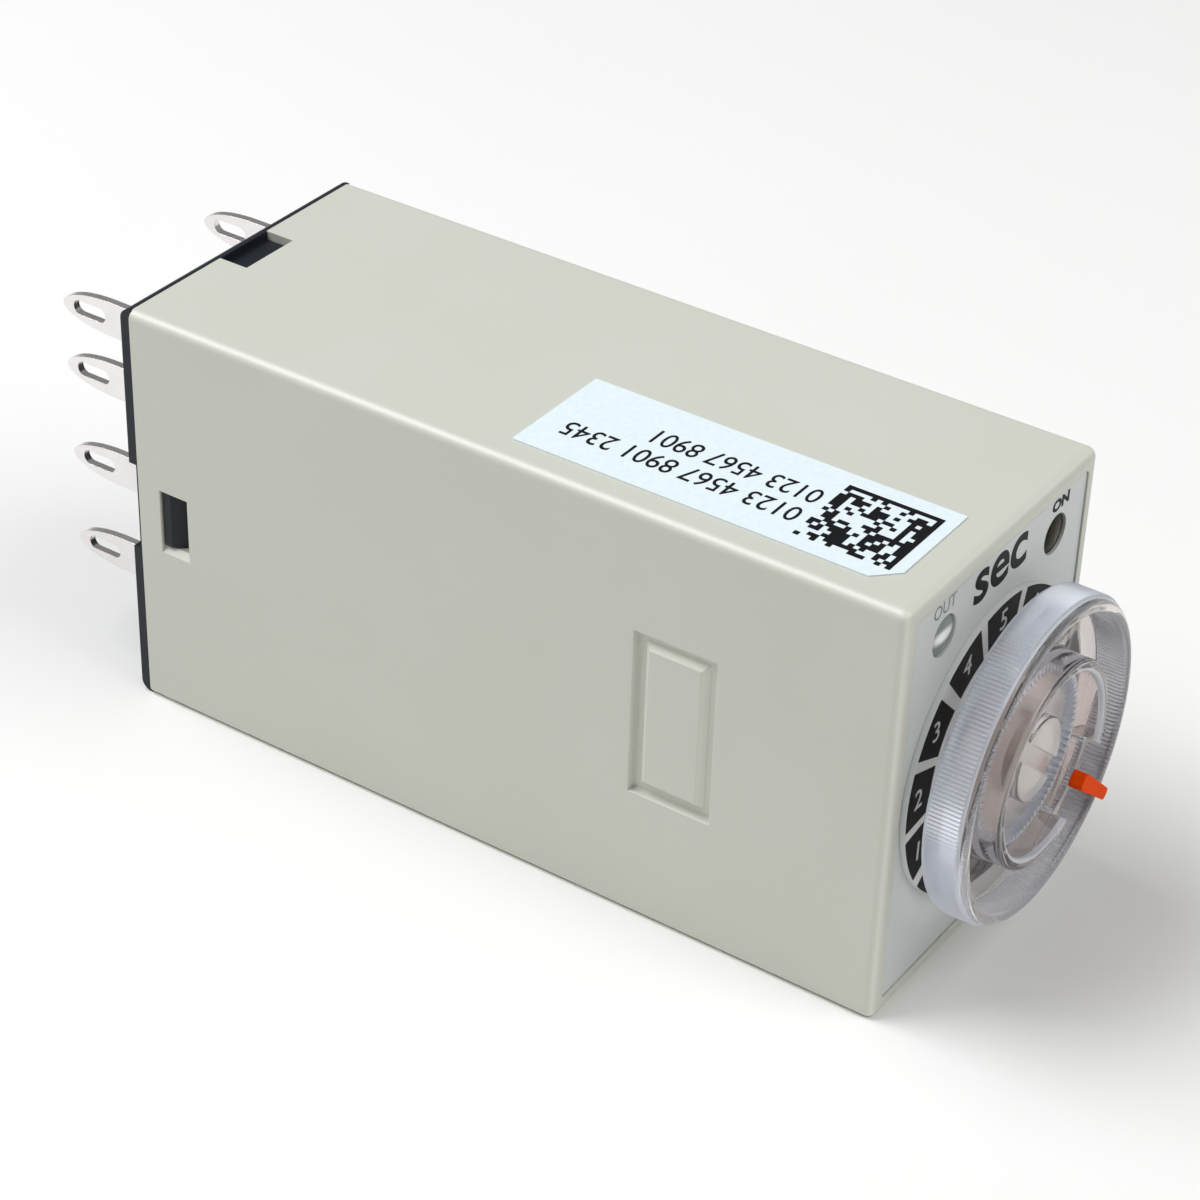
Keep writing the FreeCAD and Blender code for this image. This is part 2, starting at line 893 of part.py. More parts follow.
def make_chip(side, x, z):
    # A flat moulded body with two rows of short formed leads.
    belly = board_inner - chip_standoff
    body = rounded_box(
        span(x, chip_width),
        beside(side, belly - chip_height, belly),
        span(z, chip_length),
        component_corner, ACROSS,
    )
    under = box(span(x, chip_width), beside(side, belly, board_inner), span(z, chip_length))
    leads = []
    for index in range(chip_leads_in_row):
        level = z + (index - (chip_leads_in_row - 1) / 2) * chip_lead_pitch
        y = beside(side, board_inner - chip_lead_height, board_inner)
        strip = box(span(x, chip_width + 2 * chip_lead_reach), y, span(level, chip_lead_width))
        leads.append(strip.cut(under))
    return joined([body] + leads)


def rounded_ends(body, radius):
    return body.makeFillet(radius, [edge for edge in body.Edges if isinstance(edge.Curve, Part.Circle)])


def make_can(side, front, z):
    # An aluminium can lying on its board, with both leads at its rear end.
    rear = front - can_length
    y = side * (board_inner - component_gap - can_radius)
    body = rounded_ends(rod((rear, front), can_radius, V(0, y, z)), can_round)
    end = side * (board_outer + component_lead_stub)
    lead_x = rear - can_lead_setback
    points = [(lead_x, level) for level in span(z, can_lead_pitch)]
    leads = []
    for x, level in points:
        route = [V(rear + can_lead_setback, y, level), V(x, y, level), V(x, end, level)]
        leads.append(wire_along(route, component_lead_radius, component_lead_bend))
    return joined([body] + leads), points


def make_block(side, x, z, height, lead_pitch):
    # A moulded box with two leads, such as a film capacitor.
    body = rounded_box(x, beside(side, board_inner - height, board_inner), z, component_corner, ACROSS)
    middle_x = (x[0] + x[1]) / 2
    middle_z = (z[0] + z[1]) / 2
    points = [(lead_x, middle_z) for lead_x in span(middle_x, lead_pitch)]
    return leaded(body, side, points, height / 2), points


def make_rectifier(side, x, z):
    # A square moulding with a lead near each corner.
    y = beside(side, board_inner - rectifier_height, board_inner)
    body = rounded_box(span(x, rectifier_size), y, span(z, rectifier_size), component_corner, ACROSS)
    columns = span(x, rectifier_lead_pitch)
    points = [(lead_x, lead_z) for lead_x in columns for lead_z in span(z, rectifier_lead_pitch)]
    return leaded(body, side, points, rectifier_height / 2), points


def make_absorber(side, x, z):
    # A coated disc lying flat on its board.
    disc = pin_across(beside(side, board_inner - absorber_thickness, board_inner), absorber_radius, x, z)
    points = [(lead_x, z) for lead_x in span(x, absorber_lead_pitch)]
    return leaded(rounded_ends(disc, absorber_round), side, points, absorber_thickness / 2), points


def make_transistor(side, x, z):
    # A round moulding with one flat face and three leads in a row.
    y = beside(side, board_inner - transistor_height, board_inner)
    flat_x = x - transistor_flat
    flat = box(
        (flat_x - transistor_radius, flat_x),
        (y[0] - over, y[1] + over),
        span(z, 2 * (transistor_radius + over)),
    )
    body = pin_across(y, transistor_radius, x, z).cut(flat)
    points = [(x, z + step * transistor_lead_pitch) for step in (-1, 0, 1)]
    return leaded(body, side, points, transistor_height / 2), points


def make_side_board(side, holes):
    z = inner_height - board_edge_gap
    sheet = box((board_rear, front_board_rear), beside(side, board_inner, board_outer), (-z, z))
    through = beside(side, board_inner - over, board_outer + over)
    drills = [pin_across(through, lead_hole_radius, x, level) for x, level in holes]
    drills.append(pin_across(through, coil_pin_radius + lead_hole_fit, coil_pin_turn, coil_pin_level))
    return sheet.cut(drills)


def lamp_lead_points(side):
    return [V(0, side * indicator_column, z) for z in span(indicator_row, lamp_lead_pitch)]


def pot_pin_points():
    points = []
    for angle in pot_pin_angles:
        turn = math.radians(angle)
        points.append(dial_centre + V(0, pot_pin_circle * math.sin(turn), pot_pin_circle * math.cos(turn)))
    return points


def make_front_board():
    y = inner_width - board_edge_gap
    z = inner_height - board_edge_gap
    sheet = box((front_board_rear, pot_rear), (-y, y), (-z, z))
    through = (front_board_rear - over, pot_rear + over)
    drills = [rod(through, pot_pin_radius + lead_hole_fit, point) for point in pot_pin_points()]
    for side in (-1, 1):
        for point in lamp_lead_points(side):
            drills.append(rod(through, lead_hole_radius, point))
    return sheet.cut(drills)


def make_lamp(side):
    # An indicator lamp with a shallow dome in its hole, on two leads through the front board.
    centre = V(0, side * indicator_column, indicator_row)
    tip = case_front - lamp_depth
    shoulder = tip - lamp_dome
    curve = (lamp_radius ** 2 + lamp_dome ** 2) / (2 * lamp_dome)
    dome = Part.makeSphere(curve, V(tip - curve, centre.y, centre.z))
    dome = dome.common(rod((shoulder, tip + over), lamp_radius + over, centre))
    solids = [
        rod((lamp_base, lamp_base + lamp_flange), lamp_flange_radius, centre),
        rod((lamp_base, shoulder), lamp_radius, centre),
        dome,
    ]
    for point in lamp_lead_points(side):
        lead_x = (front_board_rear - component_lead_stub, lamp_base + lamp_flange / 2)
        solids.append(box(lead_x, span(point.y, component_lead_width), span(point.z, component_lead_width)))
    return joined(solids)


# Dial drive
def make_pot_case():
    y = (-pot_half, pot_half)
    z = (-pot_half - dial_drop, pot_half - dial_drop)
    body = rounded_box((pot_rear, pot_front), y, z, pot_corner)
    bush = rod((pot_front - pot_cover / 2, plate_seat - bush_setback), bush_radius, dial_centre)
    cavity = rod((pot_rear - over, pot_front - pot_cover), pot_cavity_radius, dial_centre)
    bore = rod((pot_rear, plate_seat), shaft_radius + shaft_clearance, dial_centre)
    shell = joined([body, bush]).cut([cavity, bore])
    stop_x = (rotor_rear, pot_front - pot_cover / 2)
    stop_width = 360 - dial_sweep - stop_tab_angle - 2 * stop_play_angle
    stop = sector(stop_x, rotor_radius + stop_gap, pot_cavity_radius + stop_gap, 0, stop_width)
    return joined([shell, stop])


def make_pot_shaft():
    tip = case_front + shaft_reach
    plain = rod((rotor_rear, tip - shaft_knurl_length), shaft_radius, dial_centre)
    knurl = star((tip - shaft_knurl_length, tip), shaft_teeth, shaft_radius, shaft_tooth_depth)
    rotor = rod((rotor_rear, rotor_front), rotor_radius, dial_centre)
    tab = sector(
        (rotor_rear, rotor_front),
        shaft_radius, pot_cavity_radius - stop_gap, pointer_angle + 180, stop_tab_angle,
    )
    return joined([plain, knurl, rotor, tab])


def make_wiper():
    # A bent strip on the rotor's back whose foot runs on the track.
    y = span(0, wiper_width)
    arm = box((rotor_rear - wiper_thickness, rotor_rear), y, (wiper_inner - wiper_outer, wiper_outer))
    foot_z = (wiper_outer - wiper_foot, wiper_outer)
    foot = box((track_front + wiper_gap, rotor_rear), y, foot_z)
    strip = joined([arm, foot])
    strip.translate(dial_centre)
    return turned(strip, pointer_angle)


def make_track():
    # The carbon disc at the back of the potentiometer, with its three solder pins.
    x = (pot_rear, track_front)
    disc = rod(x, pot_cavity_radius - insert_fit, dial_centre).cut(rod(x, track_bore, dial_centre))
    pin_x = (front_board_rear - component_lead_stub, track_front - insert_fit)
    return joined([disc] + [rod(pin_x, pot_pin_radius, point) for point in pot_pin_points()])


def on_dial(height, radius):
    # A point of the knob's section: height in front of the case, radius from the dial's axis.
    return V(case_front + height, 0, radius - dial_drop)


def knob_section():
    land = knob_radius - knurl_depth - knurl_land
    bore = shaft_radius + insert_fit
    bore_end = shaft_reach + insert_fit
    lift = knob_rim_round * (1 - math.sqrt(0.5))
    front_edge = Part.Arc(
        on_dial(knob_front - knob_rim_round, land),
        on_dial(knob_front - lift, land - lift),
        on_dial(knob_front, land - knob_rim_round),
    ).toShape()
    hub_lift = hub_round * (1 - math.sqrt(0.5))
    hub_edge = Part.Arc(
        on_dial(hub_front - hub_round, hub_radius),
        on_dial(hub_front - hub_lift, hub_radius - hub_lift),
        on_dial(hub_front, hub_radius - hub_round),
    ).toShape()
    back = Part.makePolygon(
        [
            on_dial(hub_front, hub_radius - hub_round),
            on_dial(hub_front, 0),
            on_dial(bore_end, 0),
            on_dial(bore_end, bore),
            on_dial(boss_back, bore),
            on_dial(boss_back, boss_radius),
            on_dial(knob_back, boss_radius),
            on_dial(knob_back, land),
            on_dial(knob_front - knob_rim_round, land),
        ]
    )
    bowl = Part.makePolygon(
        [
            on_dial(knob_front, land - knob_rim_round),
            on_dial(knob_front, rim_inner),
            on_dial(web_front, rim_inner),
            on_dial(web_front, hub_radius),
            on_dial(hub_front - hub_round, hub_radius),
        ]
    )
    return Part.Face(Part.Wire(back.Edges + [front_edge] + bowl.Edges + [hub_edge]))


def pointer_bar(fit=0.0):
    # A bar from the hub's wall across the rim that narrows towards its outer end.
    x = case_front + pointer_back
    inner = pointer_inner - fit
    outer = knob_radius + pointer_overhang + fit
    root = pointer_width / 2 + fit
    tip = pointer_tip_width / 2 + fit
    outline = [V(x, -root, inner), V(x, root, inner), V(x, tip, outer), V(x, -tip, outer)]
    bar = prism(outline, V(pointer_front - pointer_back, 0, 0))
    bar = bar.makeFillet(pointer_round + fit, edges_along(bar, AHEAD))
    bar.translate(dial_centre)
    return turned(bar, pointer_angle)


def hub_pocket():
    # The hub's open front: teeth round its floor, plain walls, and a slotted boss that stays in its middle.
    floor = case_front + web_front
    tooth_top = floor + hub_tooth_height
    boss_top = case_front + slot_boss_front
    wall = hub_radius - hub_wall
    foot = star((floor, tooth_top), hub_teeth, wall - hub_tooth_land, hub_tooth_depth)
    bowl = rod((tooth_top, case_front + hub_front + over), wall, dial_centre)
    boss = rod((floor, boss_top), slot_boss_radius, dial_centre)
    slot_z = span(0, 2 * (slot_boss_radius + over))
    slot = box((boss_top - slot_depth, boss_top + over), span(0, slot_width), slot_z)
    slot.translate(dial_centre)
    return foot.fuse(bowl).cut(boss.cut(turned(slot, pointer_angle)))


def hub_gap():
    # The stretch where the hub's wall is lower, so that the pointer lies on it.
    gap = box(
        (case_front + pointer_back, case_front + hub_front + over),
        span(0, hub_gap_width),
        (0, hub_radius + over),
    )
    gap.translate(dial_centre)
    return turned(gap, pointer_angle)


def make_knob():
    body = knob_section().revolve(dial_centre, AHEAD, 360)
    knurl_x = (case_front + knob_back + knurl_margin_back, case_front + knob_front - knurl_margin_front)
    band = star(knurl_x, knurl_ridges, knob_radius, knurl_depth)
    band = band.cut(rod(knurl_x, (rim_inner + knob_radius) / 2, dial_centre))
    ribs = []
    for angle in (pointer_angle - rib_angle, pointer_angle + rib_angle):
        rib_z = (hub_radius - hub_wall / 2, rim_inner + knob_rim_wall / 4)
        rib_x = (case_front + knob_back + knob_web / 2, case_front + knob_front - rib_drop)
        rib = box(rib_x, span(0, rib_thickness), rib_z)
        rib.translate(dial_centre)
        ribs.append(turned(rib, angle))
    return joined([body, band] + ribs).cut([hub_pocket(), hub_gap(), pointer_bar(pointer_fit)])


# All pieces by name
sides = {"left": -1, "right": 1}
parts = {
    "case": make_case(),
    "base": make_base(),
    "nameplate": make_nameplate(),
    "dial_plate": make_dial_plate(),
    "label": make_label(),
    "knob": make_knob(),
    "pointer": pointer_bar(),
    "potentiometer_case": make_pot_case(),
    "potentiometer_shaft": make_pot_shaft(),
    "potentiometer_wiper": make_wiper(),
    "potentiometer_track": make_track(),
    "yoke": make_yoke(),
    "core": make_core(),
    "bobbin": make_bobbin(),
    "winding": make_winding(),
    "armature": opened(armature_plate()),
    "contact_carrier": make_carrier(),
    "hinge_spring": make_hinge_spring(),
    "front_board": make_front_board(),
    "output_lamp": make_lamp(sides["left"]),
    "power_lamp": make_lamp(sides["right"]),
}
terminal_numbers = {"left": (1, 5, 9, 13), "right": (4, 8, 12, 14)}
for name, side in sides.items():
    closed, open_, common, supply = terminal_numbers[name]
    parts[f"terminal_{closed}"] = contact_terminal(side, row_closed, contact_rest_x)
    parts[f"terminal_{open_}"] = contact_terminal(side, row_open, contact_x)
    parts[f"terminal_{common}"] = blade(side, row_common, tab_front)
    parts[f"terminal_{supply}"] = blade(side, row_supply, tail_end)
    parts[f"resting_contact_{name}"] = make_fixed_contact(side, row_closed, contact_rest_x, closed_face)
    parts[f"working_contact_{name}"] = make_fixed_contact(side, row_open, contact_x, open_face)
    parts[f"moving_spring_{name}"] = make_moving_spring(side)
    parts[f"moving_contact_{name}"] = make_moving_contact(side)
    parts[f"common_lead_{name}"] = make_common_lead(side)
    parts[f"coil_pin_{name}"] = make_coil_pin(side)

# Timing board with its components, on the right
right = sides["right"]
floor_z = -inner_height
holes = {}
parts["timer_chip"] = make_chip(right, front_board_rear - chip_from_front, floor_z + chip_rise)
parts["smoothing_capacitor"], holes["can"] = make_can(
    right, front_board_rear - can_from_front, floor_z + can_rise
)
parts["coil_transistor"], holes["transistor"] = make_transistor(
    right, front_board_rear - transistor_from_front, floor_z + transistor_rise
)
for number, rise in enumerate(resistor_rises, start=1):
    parts[f"resistor_{number}"], holes[f"resistor_{number}"] = axial(
        right, front_board_rear - resistor_from_front, floor_z + rise,
        resistor_length, resistor_radius, resistor_lead_span,
    )
parts["timing_board"] = make_side_board(right, sum(holes.values(), []))

# Power board with its components, on the left
left = sides["left"]
holes = {}
dropper_front = front_board_rear - dropper_from_front
parts["dropper_capacitor"], holes["dropper"] = make_block(
    left, (dropper_front - dropper_length, dropper_front), span(floor_z + dropper_rise, dropper_width),
    dropper_height, dropper_lead_pitch,
)
timing_front = front_board_rear - timing_from_front
parts["timing_capacitor"], holes["timing"] = make_block(
    left, (timing_front - timing_length, timing_front), span(floor_z + timing_rise, timing_width),
    timing_height, timing_lead_pitch,
)
rectifier_x = front_board_rear - rectifier_from_front - rectifier_size / 2
parts["rectifier"], holes["rectifier"] = make_rectifier(left, rectifier_x, floor_z + rectifier_rise)
parts["surge_absorber"], holes["absorber"] = make_absorber(
    left, front_board_rear - absorber_from_front, floor_z + absorber_rise
)
parts["coil_diode"], holes["diode"] = axial(
    left, front_board_rear - diode_from_front, floor_z + diode_rise,
    diode_length, diode_radius, diode_lead_span,
)
parts["power_board"] = make_side_board(left, sum(holes.values(), []))

os.makedirs("parts", exist_ok=True)
for name, shape in parts.items():
    shape.exportStep(f"parts/{name}.step")
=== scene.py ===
import json
import math
import random

import bmesh
import bpy
from mathutils import Matrix, Vector


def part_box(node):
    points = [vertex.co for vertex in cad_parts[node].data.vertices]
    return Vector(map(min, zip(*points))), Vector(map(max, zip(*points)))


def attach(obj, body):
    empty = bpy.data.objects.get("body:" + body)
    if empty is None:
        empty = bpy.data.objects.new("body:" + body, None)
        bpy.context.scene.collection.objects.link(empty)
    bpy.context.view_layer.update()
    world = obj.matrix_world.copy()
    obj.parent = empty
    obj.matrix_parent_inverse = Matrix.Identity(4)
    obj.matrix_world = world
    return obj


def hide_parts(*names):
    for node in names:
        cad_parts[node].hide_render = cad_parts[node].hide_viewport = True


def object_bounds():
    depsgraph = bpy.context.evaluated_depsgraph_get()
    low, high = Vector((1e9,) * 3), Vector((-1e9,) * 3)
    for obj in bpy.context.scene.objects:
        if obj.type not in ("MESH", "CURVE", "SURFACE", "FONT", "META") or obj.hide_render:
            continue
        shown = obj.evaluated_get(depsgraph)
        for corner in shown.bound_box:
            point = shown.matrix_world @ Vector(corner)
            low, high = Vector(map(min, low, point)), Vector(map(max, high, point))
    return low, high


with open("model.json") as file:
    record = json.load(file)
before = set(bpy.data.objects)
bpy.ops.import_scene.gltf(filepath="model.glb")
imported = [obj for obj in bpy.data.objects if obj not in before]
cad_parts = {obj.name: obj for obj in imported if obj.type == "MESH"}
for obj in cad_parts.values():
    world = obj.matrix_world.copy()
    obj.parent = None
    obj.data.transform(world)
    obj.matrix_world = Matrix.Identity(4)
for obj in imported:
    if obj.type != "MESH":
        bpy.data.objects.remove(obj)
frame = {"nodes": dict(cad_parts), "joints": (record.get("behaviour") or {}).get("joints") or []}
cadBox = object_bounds()

mm = 0.001
weldGap = 0.001 * mm  # points closer than this are one point
nodes = frame["nodes"]
dialJoint = next(joint for joint in frame["joints"] if joint["name"] == "dial_turn")
dialAxis = Vector(dialJoint["pos_m"])  # on the case's front face, at the dial's centre
pointerLow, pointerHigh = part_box("pointer")
pointerMiddle = (pointerLow + pointerHigh) / 2 - dialAxis
pointerTurn = math.atan2(pointerMiddle.y, pointerMiddle.z)  # clockwise from upright, facing the dial
print("frame: nodes", len(nodes))


# small tools used all over
def hexColor(code):  # sRGB hex to linear RGBA
    channels = [int(code[i:i + 2], 16) / 255 for i in (1, 3, 5)]
    return [c / 12.92 if c <= 0.04045 else ((c + 0.055) / 1.055) ** 2.4 for c in channels] + [1.0]


def addNode(tree, kind, settings=None, inputs=None):  # one node with its settings, values and links
    node = tree.nodes.new(kind)
    for key, value in (settings or {}).items():
        setattr(node, key, value)
    for key, value in (inputs or {}).items():
        if isinstance(value, bpy.types.NodeSocket):
            tree.links.new(value, node.inputs[key])
        else:
            node.inputs[key].default_value = value
    return node


def newMaterial(name):  # an empty material and its tree, with Object coordinates and a Principled shader
    material = bpy.data.materials.new(name)
    material.use_nodes = True
    tree = material.node_tree
    tree.nodes.clear()
    place = addNode(tree, "ShaderNodeTexCoord").outputs["Object"]
    shader = addNode(tree, "ShaderNodeBsdfPrincipled")
    addNode(tree, "ShaderNodeOutputMaterial", inputs={"Surface": shader.outputs[0]})
    return material, tree, place, shader


def grainScale(sizeMm):  # noise scale for features of that size
    return 1 / (sizeMm * mm)


def deselect():
    if bpy.context.object and bpy.context.object.mode == "EDIT":
        bpy.ops.object.mode_set(mode="OBJECT")
    bpy.ops.object.select_all(action="DESELECT")


def pick(obj):
    deselect()
    obj.select_set(True)
    bpy.context.view_layer.objects.active = obj


def openMesh(name, material):  # names the piece just added and goes into edit mode with nothing selected
    obj = bpy.context.object
    obj.name = name
    obj.data.name = name
    obj.data.materials.append(material)
    bpy.ops.object.mode_set(mode="EDIT")
    bpy.ops.mesh.select_all(action="DESELECT")
    return obj


def selectWhere(obj, kind, test):  # kind is "verts" or "faces"
    shape = bmesh.from_edit_mesh(obj.data)
    bpy.ops.mesh.select_all(action="DESELECT")
    bpy.context.tool_settings.mesh_select_mode = (kind == "verts", False, kind == "faces")
    for part in getattr(shape, kind):
        part.select = test(part)
    shape.select_flush_mode()
    bmesh.update_edit_mesh(obj.data)


def settle(obj, turn=None):  # moves the mesh to its place and leaves the object at the origin
    pick(obj)
    if turn is not None:
        obj.matrix_world = turn
    bpy.ops.object.transform_apply(location=True, rotation=True, scale=True)


def useModifier(obj, kind, **settings):
    pick(obj)
    modifier = obj.modifiers.new(kind.lower(), kind)
    for key, value in settings.items():
        setattr(modifier, key, value)
    bpy.ops.object.modifier_apply(modifier=modifier.name)


def cleanMesh(obj):  # closes split corners, drops slivers and turns every face outward
    pick(obj)
    bpy.ops.object.mode_set(mode="EDIT")
    bpy.ops.mesh.select_all(action="SELECT")
    bpy.ops.mesh.remove_doubles(threshold=weldGap)
    bpy.ops.mesh.dissolve_degenerate(threshold=weldGap)
    bpy.ops.mesh.select_all(action="SELECT")
    bpy.ops.mesh.normals_make_consistent(inside=False)
    bpy.ops.object.mode_set(mode="OBJECT")


def carry(obj, body, node=None):
    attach(obj, body)
    if node:
        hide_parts(node)


# materials
mould = {
    "cloudMm": 9.0, "sheenSpread": 0.05, "bump": 0.12, "bumpShare": 0.2, "edgeSamples": 8,
    # painted highlight on edges: an edge is painted paler as the largest part of its normal drops from the
    # end level to the start level
    "paintedHighlightStart": 0.72, "paintedHighlightEnd": 0.99, "paintedHighlightShare": 0.65,
}


def mouldedPlastic(name, dark, light, rough, grainMm, edgeMm=0.0, specular=0.5, paintedEdgeHighlight=None):
    # injection moulding: an even colour with faint clouds, and the spark grain of the tool in its sheen
    # the real grain is about 0.03 mm, too fine to show, so it is drawn coarser
    m = mould
    material, tree, place, shader = newMaterial(name)
    cloud = addNode(tree, "ShaderNodeTexNoise",
                    inputs={"Vector": place, "Scale": grainScale(m["cloudMm"]), "Detail": 3.0})
    tint = addNode(tree, "ShaderNodeMix", {"data_type": "RGBA"},
                   {0: cloud.outputs[0], 6: hexColor(dark), 7: hexColor(light)})
    grain = addNode(tree, "ShaderNodeTexNoise",
                    inputs={"Vector": place, "Scale": grainScale(grainMm), "Detail": 2.0})
    sheen = addNode(tree, "ShaderNodeMapRange",
                    inputs={"Value": grain.outputs[0], "To Min": rough - m["sheenSpread"],
                            "To Max": rough + m["sheenSpread"]})
    bump = addNode(tree, "ShaderNodeBump",
                   inputs={"Height": grain.outputs[0], "Strength": m["bump"],
                           "Distance": grainMm * mm * m["bumpShare"]})
    if edgeMm:  # the small radius that a mould leaves on every edge
        edge = addNode(tree, "ShaderNodeBevel", {"samples": m["edgeSamples"]}, {"Radius": edgeMm * mm})
        tree.links.new(edge.outputs[0], bump.inputs["Normal"])
    if paintedEdgeHighlight:  # painted highlight: the rounded edges are painted paler, where no side of the box faces straight out
        facing = addNode(tree, "ShaderNodeVectorMath", {"operation": "ABSOLUTE"}, {0: edge.outputs[0]})
        sides = addNode(tree, "ShaderNodeSeparateXYZ", inputs={0: facing.outputs[0]})
        widest = addNode(tree, "ShaderNodeMath", {"operation": "MAXIMUM"},
                         {0: sides.outputs["X"], 1: sides.outputs["Y"]})
        widest = addNode(tree, "ShaderNodeMath", {"operation": "MAXIMUM"},
                         {0: widest.outputs[0], 1: sides.outputs["Z"]})
        paintedHighlightMask = addNode(tree, "ShaderNodeMapRange",
                      inputs={"Value": widest.outputs[0], "From Min": m["paintedHighlightStart"], "From Max": m["paintedHighlightEnd"],
                              "To Min": m["paintedHighlightShare"], "To Max": 0.0})
        tint = addNode(tree, "ShaderNodeMix", {"data_type": "RGBA"},
                       {0: paintedHighlightMask.outputs[0], 6: tint.outputs[2], 7: hexColor(paintedEdgeHighlight)})
    tree.links.new(tint.outputs[2], shader.inputs["Base Color"])
    tree.links.new(sheen.outputs[0], shader.inputs["Roughness"])
    tree.links.new(bump.outputs[0], shader.inputs["Normal"])
    shader.inputs["Specular IOR Level"].default_value = specular
    return material


strip = {
    "stretch": (0.06, 1.0, 1.0), "cloudMm": 1.6, "duller": 0.1, "brighter": 0.07,
    "bump": 0.1, "bumpShare": 0.2, "edgeMm": 0.04, "edgeSamples": 4,
}


def drawnMetal(name, dark, light, rough, streakMm):
    # rolled and stamped strip: fine lines along its length, softened cut edges
    # real rolling lines are about 0.01 mm apart, too fine to show, so they are drawn coarser
    s = strip
    material, tree, place, shader = newMaterial(name)
    stretch = addNode(tree, "ShaderNodeMapping", inputs={"Vector": place, "Scale": s["stretch"]})
    streak = addNode(tree, "ShaderNodeTexNoise",
                     inputs={"Vector": stretch.outputs[0], "Scale": grainScale(streakMm), "Detail": 4.0})
    cloud = addNode(tree, "ShaderNodeTexNoise",
                    inputs={"Vector": place, "Scale": grainScale(s["cloudMm"]), "Detail": 3.0})
    tint = addNode(tree, "ShaderNodeMix", {"data_type": "RGBA"},
                   {0: cloud.outputs[0], 6: hexColor(dark), 7: hexColor(light)})
    sheen = addNode(tree, "ShaderNodeMapRange",
                    inputs={"Value": streak.outputs[0], "To Min": rough - s["brighter"],
                            "To Max": rough + s["duller"]})
    edge = addNode(tree, "ShaderNodeBevel", {"samples": s["edgeSamples"]}, {"Radius": s["edgeMm"] * mm})
    bump = addNode(tree, "ShaderNodeBump",
                   inputs={"Height": streak.outputs[0], "Strength": s["bump"],
                           "Distance": streakMm * mm * s["bumpShare"], "Normal": edge.outputs[0]})
    tree.links.new(tint.outputs[2], shader.inputs["Base Color"])
    tree.links.new(sheen.outputs[0], shader.inputs["Roughness"])
    tree.links.new(bump.outputs[0], shader.inputs["Normal"])
    shader.inputs["Metallic"].default_value = 1.0
    return material


clearMould = {"ior": 1.49, "bump": 0.08, "bumpShare": 0.05}  # the index is acrylic's


def clearPlastic(name, tint, rough, waveMm, clarity, passing):
    # polished transparent moulding: faintly tinted, with the flow waves of a thick clear part
    c = clearMould
    material, tree, place, shader = newMaterial(name)
    wave = addNode(tree, "ShaderNodeTexNoise",
                   inputs={"Vector": place, "Scale": grainScale(waveMm), "Detail": 2.0})
    bump = addNode(tree, "ShaderNodeBump",
                   inputs={"Height": wave.outputs[0], "Strength": c["bump"],
                           "Distance": waveMm * mm * c["bumpShare"]})
    tree.links.new(bump.outputs[0], shader.inputs["Normal"])
    shader.inputs["Base Color"].default_value = hexColor(tint)
    shader.inputs["Roughness"].default_value = rough
    shader.inputs["IOR"].default_value = c["ior"]
    shader.inputs["Transmission Weight"].default_value = clarity
    ray = addNode(tree, "ShaderNodeLightPath")  # lamps shine through to what lies behind
    through = addNode(tree, "ShaderNodeBsdfTransparent", inputs={"Color": hexColor(passing)})
    mixed = addNode(tree, "ShaderNodeMixShader",
                    inputs={0: ray.outputs["Is Shadow Ray"], 1: shader.outputs[0], 2: through.outputs[0]})
    tree.links.new(mixed.outputs[0], tree.get_output_node("ALL").inputs["Surface"])
    return material


# the painted glint fades between these shares of its own size
castLens = {"paintedGlintStart": 0.4, "paintedGlintEnd": 1.4, "rough": 0.15}


def lampLens(name, node, paintedGlint, resin, paintedGlintMm, specular):
    # small cast lens: a painted highlight, a soft band across the middle, over the resin's own colour
    material, tree, place, shader = newMaterial(name)
    low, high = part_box(node)
    spot = (low + high) / 2
    offset = addNode(tree, "ShaderNodeVectorMath", {"operation": "SUBTRACT"}, {0: place, 1: spot})
    squash = (0, 1 / (paintedGlintMm[0] * mm), 1 / (paintedGlintMm[1] * mm))
    flat = addNode(tree, "ShaderNodeVectorMath", {"operation": "MULTIPLY"},
                   {0: offset.outputs[0], 1: squash})
    reach = addNode(tree, "ShaderNodeVectorMath", {"operation": "LENGTH"}, {0: flat.outputs[0]})
    fade = addNode(tree, "ShaderNodeMapRange", {"interpolation_type": "SMOOTHSTEP"},
                   {"Value": reach.outputs["Value"], "From Min": castLens["paintedGlintStart"],
                    "From Max": castLens["paintedGlintEnd"]})
    tint = addNode(tree, "ShaderNodeMix", {"data_type": "RGBA"},
                   {0: fade.outputs[0], 6: hexColor(paintedGlint), 7: hexColor(resin)})
    tree.links.new(tint.outputs[2], shader.inputs["Base Color"])
    shader.inputs["Roughness"].default_value = castLens["rough"]
    shader.inputs["Specular IOR Level"].default_value = specular
    return material


labelStock = {
    "dark": "#DAE7EC", "light": "#E9F4F8", "fibreMm": 0.35,
    "bump": 0.06, "bumpMm": 0.01, "rough": 0.5,
}


def coatedPaper():
    # bright coated label stock: faint fibre mottle under a dull sheen
    s = labelStock
    material, tree, place, shader = newMaterial("coated_paper")
    fibre = addNode(tree, "ShaderNodeTexNoise",
                    inputs={"Vector": place, "Scale": grainScale(s["fibreMm"]), "Detail": 5.0})
    tint = addNode(tree, "ShaderNodeMix", {"data_type": "RGBA"},
                   {0: fibre.outputs[0], 6: hexColor(s["dark"]), 7: hexColor(s["light"])})
    bump = addNode(tree, "ShaderNodeBump",
                   inputs={"Height": fibre.outputs[0], "Strength": s["bump"], "Distance": s["bumpMm"] * mm})
    tree.links.new(tint.outputs[2], shader.inputs["Base Color"])
    tree.links.new(bump.outputs[0], shader.inputs["Normal"])
    shader.inputs["Roughness"].default_value = s["rough"]
    return material


paperSweep = {"dark": "#F2F1EF", "light": "#F5F5F3", "cloudMm": 60.0, "rough": 0.9}


